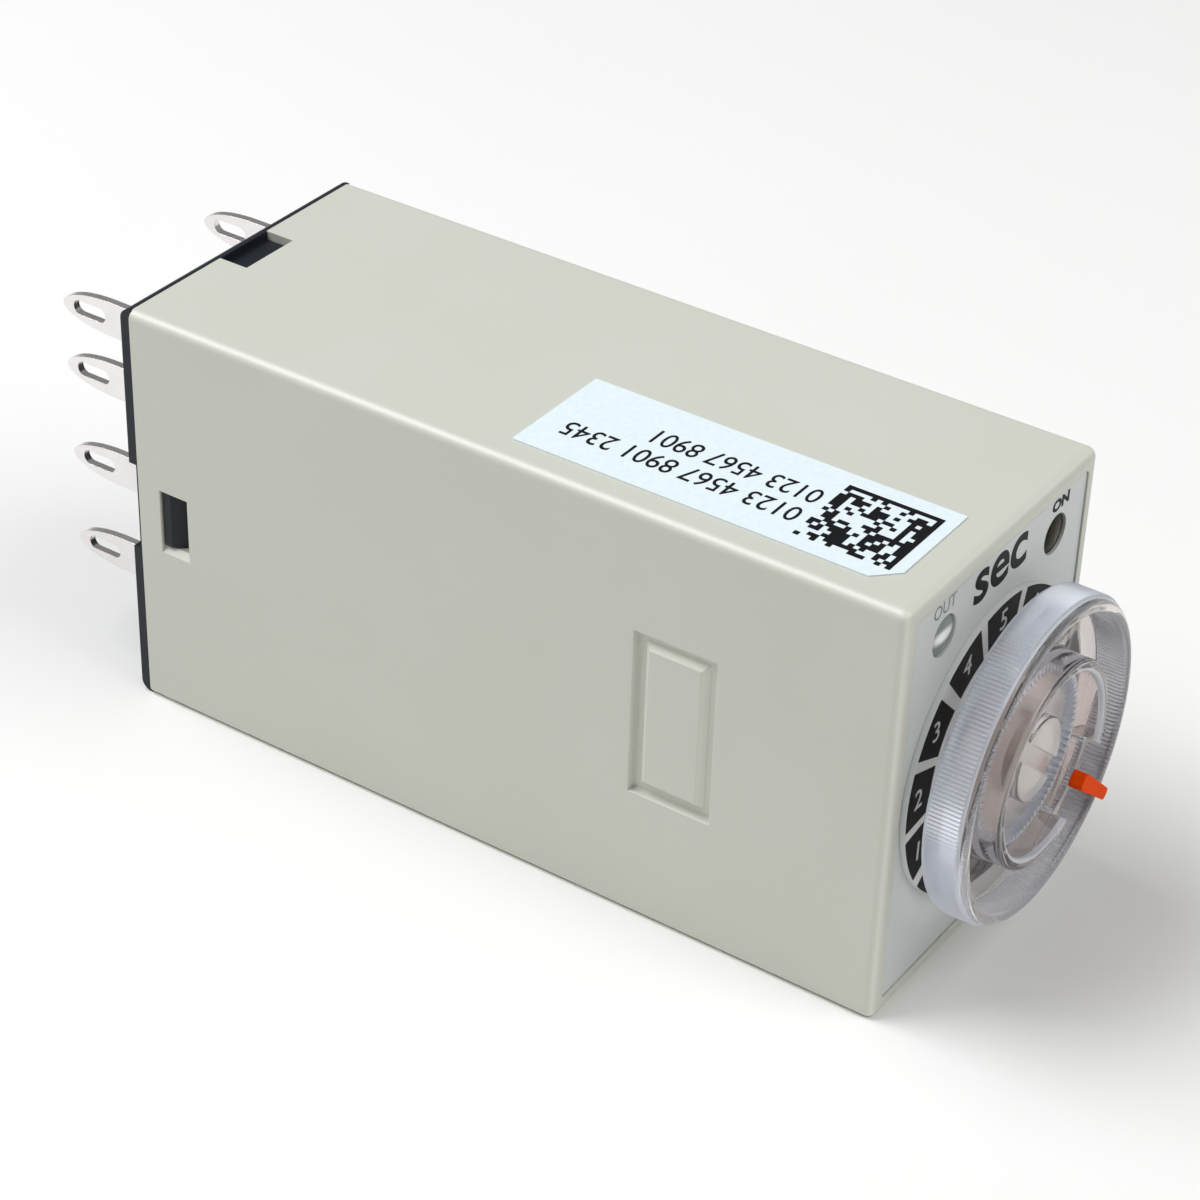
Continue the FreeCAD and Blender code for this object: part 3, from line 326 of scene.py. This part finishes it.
def studioFloor():
    # matt paper sweep: almost white, with a faint cloudiness
    s = paperSweep
    material, tree, place, shader = newMaterial("paper_sweep")
    cloud = addNode(tree, "ShaderNodeTexNoise",
                    inputs={"Vector": place, "Scale": grainScale(s["cloudMm"]), "Detail": 3.0})
    tint = addNode(tree, "ShaderNodeMix", {"data_type": "RGBA"},
                   {0: cloud.outputs[0], 6: hexColor(s["dark"]), 7: hexColor(s["light"])})
    tree.links.new(tint.outputs[2], shader.inputs["Base Color"])
    shader.inputs["Roughness"].default_value = s["rough"]
    return material


# satin beige, with a highlight painted paler where an edge turns
caseAbs = mouldedPlastic("abs_satin_beige", "#C9CABF", "#CECFC5", rough=0.38, grainMm=0.16, edgeMm=0.12,
                         paintedEdgeHighlight="#EAEADF")
# near black with a cool cast and little shine
basePbt = mouldedPlastic("pbt_black", "#1A1E25", "#20252E", rough=0.42, grainMm=0.2, edgeMm=0.08,
                         specular=0.25)
# even, cool greys, smoother than the case
plateFilm = mouldedPlastic("polycarbonate_film_grey", "#C6CCCB", "#CED3D2", rough=0.34, grainMm=0.1,
                           edgeMm=0.05)
dialFilm = mouldedPlastic("polycarbonate_film_pale", "#D2D6D6", "#DADEDE", rough=0.3, grainMm=0.1,
                          edgeMm=0.15)
# flat, dull fields of colour
inkBlack = mouldedPlastic("screen_ink_black", "#121316", "#1A1B1F", rough=0.5, grainMm=0.08, specular=0.12)
inkPale = mouldedPlastic("screen_ink_pale", "#BFC4C6", "#CBD0D2", rough=0.45, grainMm=0.08)
inkGrey = mouldedPlastic("screen_ink_grey", "#6C7072", "#787C7E", rough=0.45, grainMm=0.08)
paper = coatedPaper()
# one moulding seen three ways: polished walls, a milky floor and a frosted knurl
acrylic = clearPlastic("acrylic_clear", "#ECE4E2", rough=0.04, waveMm=2.5, clarity=1.0, passing="#F2F2F2")
acrylicWeb = clearPlastic("acrylic_milky", "#F4EEEC", rough=0.2, waveMm=1.2, clarity=0.6, passing="#DEDEDE")
acrylicKnurl = clearPlastic("acrylic_frosted", "#E8ECF6", rough=0.24, waveMm=0.4, clarity=0.45,
                            passing="#A0A0A0")
# a strong flat orange with almost no shine
pointerAcetal = mouldedPlastic("acetal_orange_red", "#EA4606", "#F04E0C", rough=0.55, grainMm=0.15,
                               edgeMm=0.15, specular=0.03)
# bright, soft-looking metal with a warm white cast
tinned = drawnMetal("tinned_brass", "#E6E1E1", "#F4EFF0", rough=0.28, streakMm=0.06)
# one lens with a painted white highlight across the middle and one with a faint painted highlight on dark
# resin
lensClear = lampLens("epoxy_water_clear", "output_lamp", paintedGlint="#FFFFFF", resin="#868C8D",
                     paintedGlintMm=(1.1, 0.4), specular=0.2)
lensTinted = lampLens("epoxy_olive", "power_lamp", paintedGlint="#332B18", resin="#1E190E",
                      paintedGlintMm=(0.6, 0.8), specular=0.03)

# inside the case: metals show their streaks, plastics and coatings an even colour
innerFinishes = {
    "iron": drawnMetal("soft_iron_zinc", "#9C9B96", "#B4B3AD", rough=0.34, streakMm=0.08),
    "bronze": drawnMetal("phosphor_bronze", "#B08A52", "#C79E62", rough=0.3, streakMm=0.06),
    "silver": drawnMetal("silver_alloy", "#CFCBC4", "#E2DFD9", rough=0.26, streakMm=0.05),
    "copper": drawnMetal("copper_strand", "#A95E34", "#C27443", rough=0.36, streakMm=0.07),
    "winding": drawnMetal("enamelled_copper", "#8E4A22", "#B0622F", rough=0.3, streakMm=0.12),
    "aluminium": drawnMetal("aluminium_can", "#AAB0B8", "#C2C7CD", rough=0.32, streakMm=0.09),
    "nylon": mouldedPlastic("nylon_ivory", "#D5CFBC", "#DFDAC9", rough=0.46, grainMm=0.2),
    "carrier": mouldedPlastic("pbt_dark_grey", "#2E2F33", "#383A3F", rough=0.45, grainMm=0.2),
    "board": mouldedPlastic("glass_epoxy_green", "#36512F", "#43603A", rough=0.4, grainMm=0.4),
    "potBlue": mouldedPlastic("pbt_dark_blue", "#1E2A3F", "#27344B", rough=0.42, grainMm=0.2),
    "acetal": mouldedPlastic("acetal_white", "#DDDDD6", "#E8E8E2", rough=0.36, grainMm=0.2),
    "carbon": mouldedPlastic("carbon_film", "#1A1816", "#24211E", rough=0.5, grainMm=0.15),
    "chip": mouldedPlastic("moulded_epoxy_black", "#111113", "#1A1A1D", rough=0.5, grainMm=0.15),
    "resin": mouldedPlastic("cast_resin_ochre", "#8C6A1E", "#A67E28", rough=0.28, grainMm=0.3),
    "dipCoat": mouldedPlastic("dip_coat_blue", "#1F3E78", "#28498A", rough=0.28, grainMm=0.3),
    "enamel": mouldedPlastic("resistor_enamel_tan", "#B8966A", "#CBA87A", rough=0.3, grainMm=0.2),
}
print("materials:", len(bpy.data.materials))


# CAD nodes whose solid is already right only get their finish
def dressNodes():
    finishes = {
        "case": caseAbs, "base": basePbt, "nameplate": plateFilm, "dial_plate": dialFilm,
        "pointer": pointerAcetal, "output_lamp": lensClear, "power_lamp": lensTinted,
    }
    inner = {
        "iron": ("yoke", "core", "armature"),
        "bronze": ("hinge_spring", "moving_spring_left", "moving_spring_right", "potentiometer_wiper"),
        "silver": ("resting_contact_left", "resting_contact_right", "working_contact_left",
                   "working_contact_right", "moving_contact_left", "moving_contact_right",
                   "coil_pin_left", "coil_pin_right"),
        "copper": ("common_lead_left", "common_lead_right"),
        "winding": ("winding",),
        "aluminium": ("smoothing_capacitor",),
        "nylon": ("bobbin",),
        "carrier": ("contact_carrier",),
        "board": ("front_board", "timing_board", "power_board"),
        "potBlue": ("potentiometer_case",),
        "acetal": ("potentiometer_shaft",),
        "carbon": ("potentiometer_track",),
        "chip": ("timer_chip", "coil_transistor", "rectifier", "coil_diode"),
        "resin": ("dropper_capacitor", "timing_capacitor"),
        "dipCoat": ("surge_absorber",),
        "enamel": ("resistor_1", "resistor_2", "resistor_3"),
    }
    for finish, names in inner.items():
        for name in names:
            finishes[name] = innerFinishes[finish]
    for name in nodes:
        if name.startswith("terminal_"):
            finishes[name] = tinned
    for name, material in finishes.items():
        nodes[name].data.materials.clear()
        nodes[name].data.materials.append(material)
    print("dressed nodes:", len(finishes))


# clear setting knob: a section drawn point by point and spun, then knurled, slotted and notched
knob = {
    # mm, with heights from the case's front face and radii from the dial's axis
    "back": 1.6, "front": 4.25, "outer": 10.05, "land": 9.88, "rimInner": 9.0, "floor": 2.3,
    "hub": 6.4, "hubFront": 4.5, "hubInner": 5.6, "boss": 3.2, "bossBack": 0.5,
    "bore": 2.02, "boreEnd": 2.72, "knurlBack": 1.72, "knurlFront": 3.8, "knurlLead": 0.08,
    "ridges": 240, "ridgeDepth": 0.14, "toothStep": 6, "toothDepth": 0.45, "toothTop": 2.9, "toothLand": 5.55,
    "softRim": 0.42, "softHub": 0.28, "softInside": 0.12, "arcSteps": 5,
    "slotBoss": 2.6, "slotBossFront": 3.5, "slotWidth": 1.2, "slotDepth": 0.4, "slotOver": 0.3,
    "ribAngle": 22.0, "ribThickness": 0.35, "ribFront": 3.65, "gapWidth": 4.8,
    "pointerInner": 5.6, "pointerOuter": 10.2, "pointerBack": 3.7,
    "pointerWidth": 1.1, "pointerTip": 0.75, "pointerFit": 0.02,
    "ribRoot": 0.3, "cutOver": 1.0,  # how far ribs and cutters run past what they meet
    "weld": 0.002, "near": 0.01, "margin": 0.05,  # these join points, and tell levels and radii apart
    "smoothAngle": 35.0,  # degrees
}


def softSection(points, steps):  # (height, radius, corner) points with each corner rounded by an arc
    soft = []
    for index, (height, radius, corner) in enumerate(points):
        here = Vector((height, radius))
        if corner == 0:
            soft.append(here)
            continue
        before = (Vector(points[index - 1][:2]) - here).normalized()
        after = (Vector(points[index + 1][:2]) - here).normalized()
        half = before.angle(after) / 2
        centre = here + (before + after).normalized() * corner / math.sin(half)
        first = here + before * corner / math.tan(half) - centre
        last = here + after * corner / math.tan(half) - centre
        turn = first.angle_signed(last)
        for step in range(steps + 1):
            soft.append(centre + Matrix.Rotation(-turn * step / steps, 2) @ first)
    return soft


def dialBox(name, low, high, turn, taper=1.0, material=acrylic):
    # its corners are in the dial's own directions, forward, across and outward, in mm
    size = [(b - a) * mm for a, b in zip(low, high)]
    middle = Vector([(a + b) / 2 * mm for a, b in zip(low, high)])
    deselect()
    bpy.ops.mesh.primitive_cube_add(size=1)
    block = openMesh(name, material)
    selectWhere(block, "faces", lambda face: face.normal.z > 0.5)
    bpy.ops.transform.resize(value=(1, taper, 1))
    spun = Matrix.Translation(dialAxis) @ Matrix.Rotation(-turn, 4, "X")
    settle(block, spun @ Matrix.Translation(middle) @ Matrix.Diagonal(size + [1.0]))
    return block


def knobSection():  # height, radius and corner, from the slotted boss outward and back to the bore
    k = knob
    return [
        (k["slotBossFront"], 0, 0), (k["slotBossFront"], k["slotBoss"], k["softInside"]),
        (k["floor"], k["slotBoss"], k["softInside"]), (k["floor"], k["toothLand"], 0),
        (k["toothTop"], k["toothLand"], 0), (k["toothTop"], k["hubInner"], 0),
        (k["hubFront"], k["hubInner"], k["softHub"]), (k["hubFront"], k["hub"], k["softHub"]),
        (k["floor"], k["hub"], k["softInside"]), (k["floor"], k["rimInner"], k["softInside"]),
        (k["front"], k["rimInner"], k["softHub"]), (k["front"], k["land"], k["softRim"]),
        (k["knurlFront"], k["land"], 0), (k["knurlFront"] - k["knurlLead"], k["outer"], 0),
        (k["knurlBack"] + k["knurlLead"], k["outer"], 0), (k["knurlBack"], k["land"], 0),
        (k["back"], k["land"], 0), (k["back"], k["boss"], 0),
        (k["bossBack"], k["boss"], 0), (k["bossBack"], k["bore"], 0),
        (k["boreEnd"], k["bore"], 0), (k["boreEnd"], 0, 0),
    ]


def spinKnob():  # the plain body, left in edit mode
    k = knob
    section = softSection(knobSection(), k["arcSteps"])
    points = [dialAxis + Vector((height, 0, radius)) * mm for height, radius in section]
    deselect()
    bpy.ops.mesh.primitive_plane_add(size=mm, location=points[0])
    piece = openMesh("clear_knob", acrylic)
    bpy.ops.mesh.select_all(action="SELECT")
    bpy.ops.mesh.merge(type="CENTER")
    for here, there in zip(points, points[1:]):
        bpy.ops.mesh.extrude_region_move(TRANSFORM_OT_translate={"value": there - here})
    bpy.ops.mesh.select_all(action="SELECT")
    bpy.ops.mesh.spin(steps=2 * k["ridges"], angle=math.tau, center=dialAxis, axis=(1, 0, 0))
    bpy.ops.mesh.select_all(action="SELECT")
    bpy.ops.mesh.remove_doubles(threshold=k["weld"] * mm)
    bpy.ops.mesh.normals_make_consistent(inside=False)
    return piece


def dialPlace(piece, vert):  # the vertex's place round the dial, in half ridges, and its radius in mm
    spot = (vert.co + piece.location - dialAxis) / mm
    return round(math.atan2(spot.y, spot.z) / math.tau * 2 * knob["ridges"]), math.hypot(spot.y, spot.z)


def sinkWhere(piece, test, radius, depth):  # draws rows of the spun mesh in towards the axis
    selectWhere(piece, "verts", test)
    share = (radius - depth) / radius
    bpy.ops.transform.resize(value=(1, share, share), center_override=dialAxis)


def knurlKnob(piece):  # ridges round the rim and teeth in the hub
    k = knob

    def inValley(vert):
        place, radius = dialPlace(piece, vert)
        return abs(radius - k["outer"]) < k["near"] and place % 2 == 1

    def onTooth(steps):  # picks what lies so many steps from the crest of one of the hub's teeth
        def test(vert):
            place, radius = dialPlace(piece, vert)
            away = place % k["toothStep"]
            return abs(radius - k["toothLand"]) < k["near"] and min(away, k["toothStep"] - away) == steps
        return test

    sinkWhere(piece, inValley, k["outer"], k["ridgeDepth"])
    halfTooth = k["toothStep"] // 2
    for steps in range(halfTooth):
        sinkWhere(piece, onTooth(steps), k["toothLand"], k["toothDepth"] * (1 - steps / halfTooth))


def frostKnob(piece):  # gives the dull parts of the moulding their own finish
    k = knob

    def heightOf(face):
        return (face.calc_center_median() + piece.location - dialAxis).x / mm

    def milky(face):  # both sides of the hub's floor and the top of the slotted boss, left dull by the mould
        away = min(abs(heightOf(face) - k[level]) for level in ("floor", "back", "slotBossFront"))
        return away < k["near"] and max(dialPlace(piece, vert)[1] for vert in face.verts) < k["hubInner"]

    def frosted(face):  # the knurled band, the ring of teeth in the hub and the inner edge of the hub's lip
        radii = [dialPlace(piece, vert)[1] for vert in face.verts]
        nearest, furthest = min(radii), max(radii)
        height = heightOf(face)
        toothCrest = k["toothLand"] - k["toothDepth"]
        inRing = toothCrest - k["margin"] < nearest and furthest < k["hubInner"] + k["margin"]
        onLip = k["hubInner"] - k["near"] < nearest and furthest < k["hubInner"] + k["softHub"] + k["near"]
        return (
            nearest > k["land"] - k["margin"]
            or (inRing and height < k["toothTop"] + k["near"])
            or (onLip and height > k["hubFront"] - k["softHub"])
        )

    for index, (material, test) in enumerate(((acrylicKnurl, frosted), (acrylicWeb, milky)), start=1):
        piece.data.materials.append(material)
        piece.active_material_index = index
        selectWhere(piece, "faces", test)
        bpy.ops.object.material_slot_assign()


def ribKnob(piece):  # a rib on each side of the pointer joins the hub to the rim
    k = knob
    halfRib = k["ribThickness"] / 2
    for side in (-1, 1):
        rib = dialBox(
            "rib",
            ((k["back"] + k["floor"]) / 2, -halfRib, k["hub"] - k["ribRoot"]),
            (k["ribFront"], halfRib, k["rimInner"] + k["ribRoot"]),
            pointerTurn + side * math.radians(k["ribAngle"]),
        )
        useModifier(piece, "BOOLEAN", operation="UNION", object=rib, solver="EXACT")
        bpy.data.objects.remove(rib)


def cutKnob(piece):  # the slot in the boss, and the gap and notch that the pointer lies in
    k = knob
    fit = k["pointerFit"]
    halfPointer = k["pointerWidth"] / 2 + fit
    halfSlot = k["slotWidth"] / 2
    halfGap = k["gapWidth"] / 2
    slotReach = k["slotBoss"] + k["slotOver"]
    cutFront = k["hubFront"] + k["cutOver"]
    slot = dialBox("slot", (k["slotBossFront"] - k["slotDepth"], -halfSlot, -slotReach),
                   (k["slotBossFront"] + k["slotOver"], halfSlot, slotReach), pointerTurn,
                   material=acrylicWeb)
    gap = dialBox("gap", (k["pointerBack"], -halfGap, 0),
                  (cutFront, halfGap, k["hub"] + k["cutOver"]), pointerTurn)
    notch = dialBox("notch", (k["pointerBack"], -halfPointer, k["pointerInner"] - fit),
                    (cutFront, halfPointer, k["pointerOuter"] + fit), pointerTurn,
                    k["pointerTip"] / k["pointerWidth"])
    useModifier(gap, "BOOLEAN", operation="UNION", object=notch, solver="EXACT")  # they share one floor
    bpy.data.objects.remove(notch)
    for cutter in (slot, gap):
        useModifier(piece, "BOOLEAN", operation="DIFFERENCE", object=cutter, solver="EXACT",
                    material_mode="TRANSFER")
        bpy.data.objects.remove(cutter)


def buildKnob():
    piece = spinKnob()
    knurlKnob(piece)
    frostKnob(piece)
    settle(piece)
    ribKnob(piece)
    cutKnob(piece)
    cleanMesh(piece)
    bpy.ops.object.shade_smooth_by_angle(angle=math.radians(knob["smoothAngle"]))
    carry(piece, "dial", "knob")
    print("knob:", len(piece.data.polygons), "faces")


# printed words and numbers: letters with a thickness of ink, set on a face
facingFront = Matrix(((0, 0, 1), (1, 0, 0), (0, 1, 0))).to_4x4()  # text reads to the right, facing the dial
wordPrint = {"ink": 0.02, "curveSteps": 6}  # mm, and points along a curve of a letter


def printedWord(name, words, material, sizeMm, place, facing, weight=0.0, inkMm=wordPrint["ink"]):
    # the size is the word's width, or None for its own, and its height, and the word is centred on its place
    deselect()
    bpy.ops.object.text_add()
    word = bpy.context.object
    word.name = name
    word.data.body = words
    word.data.size = sizeMm[1] * mm
    word.data.offset = weight * mm
    word.data.extrude = inkMm * mm / 2
    word.data.resolution_u = wordPrint["curveSteps"]
    bpy.ops.object.convert(target="MESH")
    word = bpy.context.object
    word.data.materials.clear()
    word.data.materials.append(material)
    spots = [vert.co for vert in word.data.vertices]
    low = Vector([min(spot[axis] for spot in spots) for axis in range(3)])
    high = Vector([max(spot[axis] for spot in spots) for axis in range(3)])
    scaleUp = sizeMm[1] * mm / (high.y - low.y)
    scaleAcross = sizeMm[0] * mm / (high.x - low.x) if sizeMm[0] else scaleUp
    fit = Matrix.Diagonal((scaleAcross, scaleUp, 1, 1))
    settle(word, Matrix.Translation(place) @ facing @ fit @ Matrix.Translation(-(low + high) / 2))
    cleanMesh(word)
    carry(word, "housing")
    return word


# print on the dial plate: a dark ring broken by pale marks, with plain numbers
scale = {
    "inner": 6.9, "outer": 9.4, "ink": 0.02, "segments": 240, "markWidth": 3,  # mm, and segments of the ring
    "sweep": 280.0, "numbers": range(11), "numberRadius": 8.3, "digitHeight": 1.3,
    "numberLift": 1.5,  # in thicknesses of ink, to the middle of a number that lies on the ring
}


def dialSpot(turn, radius):  # a point round the dial, clockwise from upright
    return dialAxis + Vector((0, math.sin(turn) * radius * mm, math.cos(turn) * radius * mm))


def buildScale():
    s = scale
    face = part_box("dial_plate")[1].x
    deselect()
    bpy.ops.mesh.primitive_circle_add(
        vertices=s["segments"], radius=s["outer"] * mm, fill_type="NGON",
        location=(face, dialAxis.y, dialAxis.z), rotation=(0, math.pi / 2, 0),
    )
    ring = openMesh("scale_ring", inkBlack)
    bpy.ops.mesh.select_all(action="SELECT")
    bpy.ops.mesh.inset(thickness=(s["outer"] - s["inner"]) * mm)
    bpy.ops.mesh.delete(type="FACE")
    stepTurn = math.radians(s["sweep"]) / (len(s["numbers"]) - 1)
    firstTurn = -math.radians(s["sweep"]) / 2
    pale = [firstTurn + (index + 0.5) * stepTurn for index in range(len(s["numbers"]) - 1)]
    reach = math.tau / s["segments"] * s["markWidth"] / 2

    def onMark(part):  # local X runs down and local Y across, as the circle was turned
        spot = part.calc_center_median()
        turn = math.atan2(spot.y, -spot.x)
        return any(abs(turn - mark) < reach for mark in pale)

    selectWhere(ring, "faces", onMark)
    bpy.ops.mesh.delete(type="FACE")
    bpy.ops.mesh.select_all(action="SELECT")
    bpy.ops.mesh.extrude_region_move(TRANSFORM_OT_translate={"value": (s["ink"] * mm, 0, 0)})
    bpy.ops.mesh.select_all(action="SELECT")
    bpy.ops.mesh.normals_make_consistent(inside=False)
    settle(ring)
    carry(ring, "housing")
    for index, number in enumerate(s["numbers"]):
        spot = dialSpot(firstTurn + index * stepTurn, s["numberRadius"])
        spot.x = face + s["numberLift"] * s["ink"] * mm
        size = (None, s["digitHeight"])
        printedWord(f"scale_number_{number}", str(number), inkPale, size, spot, facingFront)
    print("scale: numbers", len(s["numbers"]))


# print on the front plate: the unit above the dial and plain words over the two lamps
plateWords = {
    "unit": ("sec", (6.0, 2.15), -0.2, 11.45, 0.045),  # words, size, across, up, all in mm, and added weight
    "output": ("OUT", (2.4, 0.85), -6.5, 12.3, 0.0),
    "power": ("ON", (2.0, 0.8), 6.6, 12.3, 0.04),
}


def buildPlateWords():
    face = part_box("nameplate")[1].x
    for key, (words, size, across, up, weight) in plateWords.items():
        ink = inkGrey if key == "output" else inkBlack
        spot = Vector((face, across * mm, up * mm))
        word = printedWord(f"word_{key}", words, ink, size, spot, facingFront, weight)
        print("plate word:", word.name)


# paper label, just thin enough that its print stays level with the label's top
labelSheet = {"cornerCut": 1.4, "ink": 0.02}  # mm


def buildLabel():
    low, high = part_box("label")
    cut = labelSheet["cornerCut"] * mm
    deselect()
    bpy.ops.mesh.primitive_plane_add(size=1)
    sheet = openMesh("paper_label", paper)
    bpy.ops.mesh.select_all(action="SELECT")
    bpy.ops.transform.resize(value=(high.x - low.x, high.y - low.y, 1))
    bpy.ops.transform.translate(value=((low.x + high.x) / 2, (low.y + high.y) / 2, low.z))
    bpy.ops.mesh.bisect(plane_co=(high.x - cut, low.y, low.z), plane_no=(1, -1, 0), clear_outer=True)
    bpy.ops.mesh.select_all(action="SELECT")
    thickness = high.z - low.z - labelSheet["ink"] * mm
    bpy.ops.mesh.extrude_region_move(TRANSFORM_OT_translate={"value": (0, 0, thickness)})
    bpy.ops.mesh.select_all(action="SELECT")
    bpy.ops.mesh.normals_make_consistent(inside=False)
    settle(sheet)
    carry(sheet, "housing", "label")
    print("label:", len(sheet.data.polygons), "faces")


# print on the paper label: a plain block pattern and two rows of counting digits, read from the rear
labelPrint = {
    "blockSize": 6.1, "blockCells": 18, "blockFill": 0.5, "blockFromFront": 0.75, "seed": 11,  # mm
    # each row is its digits, width and height, and place across
    "rows": (("0123 4567 8901 2345", (15.6, 1.5), -6.0), ("0123 4567 8901", (10.9, 1.5), -3.75)),
    "rowStart": 46.2,
}
facingUpReadBack = Matrix(((-1, 0, 0), (0, -1, 0), (0, 0, 1))).to_4x4()


def buildLabelPrint():
    p = labelPrint
    low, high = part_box("label")
    ink = labelSheet["ink"] * mm
    half = p["blockSize"] / 2 * mm
    spot = Vector((high.x - p["blockFromFront"] * mm - half, (low.y + high.y) / 2, high.z - ink))
    cells = p["blockCells"]
    deselect()
    bpy.ops.mesh.primitive_grid_add(
        x_subdivisions=cells, y_subdivisions=cells, size=p["blockSize"] * mm, location=spot
    )
    block = openMesh("label_blocks", inkBlack)
    draw = random.Random(p["seed"])
    cell = p["blockSize"] * mm / cells

    def bare(part):  # the front column and the far row stay whole
        at = part.calc_center_median()
        column = round((at.x + half) / cell - 0.5)
        row = round((at.y + half) / cell - 0.5)
        chance = draw.random()
        if column == cells - 1 or row == cells - 1:
            return False
        return chance > p["blockFill"]

    selectWhere(block, "faces", bare)
    bpy.ops.mesh.delete(type="FACE")
    bpy.ops.mesh.select_all(action="SELECT")
    bpy.ops.mesh.extrude_region_move(TRANSFORM_OT_translate={"value": (0, 0, ink)})
    bpy.ops.mesh.select_all(action="SELECT")
    bpy.ops.mesh.normals_make_consistent(inside=False)
    settle(block)
    carry(block, "housing")
    for index, (digits, size, across) in enumerate(p["rows"], start=1):
        spot = Vector((p["rowStart"] * mm - size[0] * mm / 2, across * mm, high.z - ink / 2))
        printedWord(f"label_row_{index}", digits, inkBlack, size, spot, facingUpReadBack,
                    inkMm=labelSheet["ink"])
    print("label print: cells", cells * cells)


# floor, light and camera
studio = {
    "floorSize": 3.0, "worldColor": "#F4F4F2", "worldStrength": 0.26,  # m
    "softboxes": {  # place and size in m, power in W, colour
        "key_softbox": ((-0.25, -0.135, 0.48), 0.38, 2.95, (0.96, 0.98, 1.0)),
        "fill_softbox": ((0.5, -0.3, 0.22), 0.4, 0.1, (1.0, 0.93, 0.8)),
        "front_softbox": ((0.36, 0.06, 0.36), 0.3, 0.85, (1.0, 1.0, 1.0)),
    },
    "cameraPlace": (121.775, -139.556, 111.468),  # mm
    "cameraTurn": (55.964, -1.551, 34.543),  # degrees
    "lens": 99.8, "sensor": 36.0, "clipStart": 10.0,  # mm
}


def addSoftbox(name, place, size, power, color, target):
    lamp = bpy.data.lights.new(name, "AREA")
    lamp.shape = "SQUARE"
    lamp.size = size
    lamp.energy = power
    lamp.color = color
    box = bpy.data.objects.new(name, lamp)
    bpy.context.scene.collection.objects.link(box)
    box.location = place
    box.rotation_euler = (Vector(place) - target).to_track_quat("Z", "Y").to_euler()


def buildStudio():
    s = studio
    low, high = cadBox
    deselect()
    bpy.ops.mesh.primitive_plane_add(size=s["floorSize"], location=((low[0] + high[0]) / 2, 0, low[2]))
    floor = bpy.context.object
    floor.name = "floor"
    floor.data.materials.append(studioFloor())
    middle = (Vector(low) + Vector(high)) / 2
    for name, (place, size, power, color) in s["softboxes"].items():
        addSoftbox(name, place, size, power, color, middle)
    world = bpy.data.worlds.new("studio")
    bpy.context.scene.world = world
    world.use_nodes = True
    background = world.node_tree.nodes["Background"]
    background.inputs["Color"].default_value = hexColor(s["worldColor"])
    background.inputs["Strength"].default_value = s["worldStrength"]
    lens = bpy.data.cameras.new("camera")
    lens.lens = s["lens"]
    lens.sensor_width = s["sensor"]
    lens.clip_start = s["clipStart"] * mm
    camera = bpy.data.objects.new("camera", lens)
    bpy.context.scene.collection.objects.link(camera)
    camera.location = Vector(s["cameraPlace"]) * mm
    camera.rotation_euler = [math.radians(a) for a in s["cameraTurn"]]
    bpy.context.scene.camera = camera
    bpy.context.scene.view_settings.view_transform = "Standard"
    print("studio: camera and light set")


dressNodes()
buildKnob()
buildScale()
buildPlateWords()
buildLabel()
buildLabelPrint()
buildStudio()
deselect()
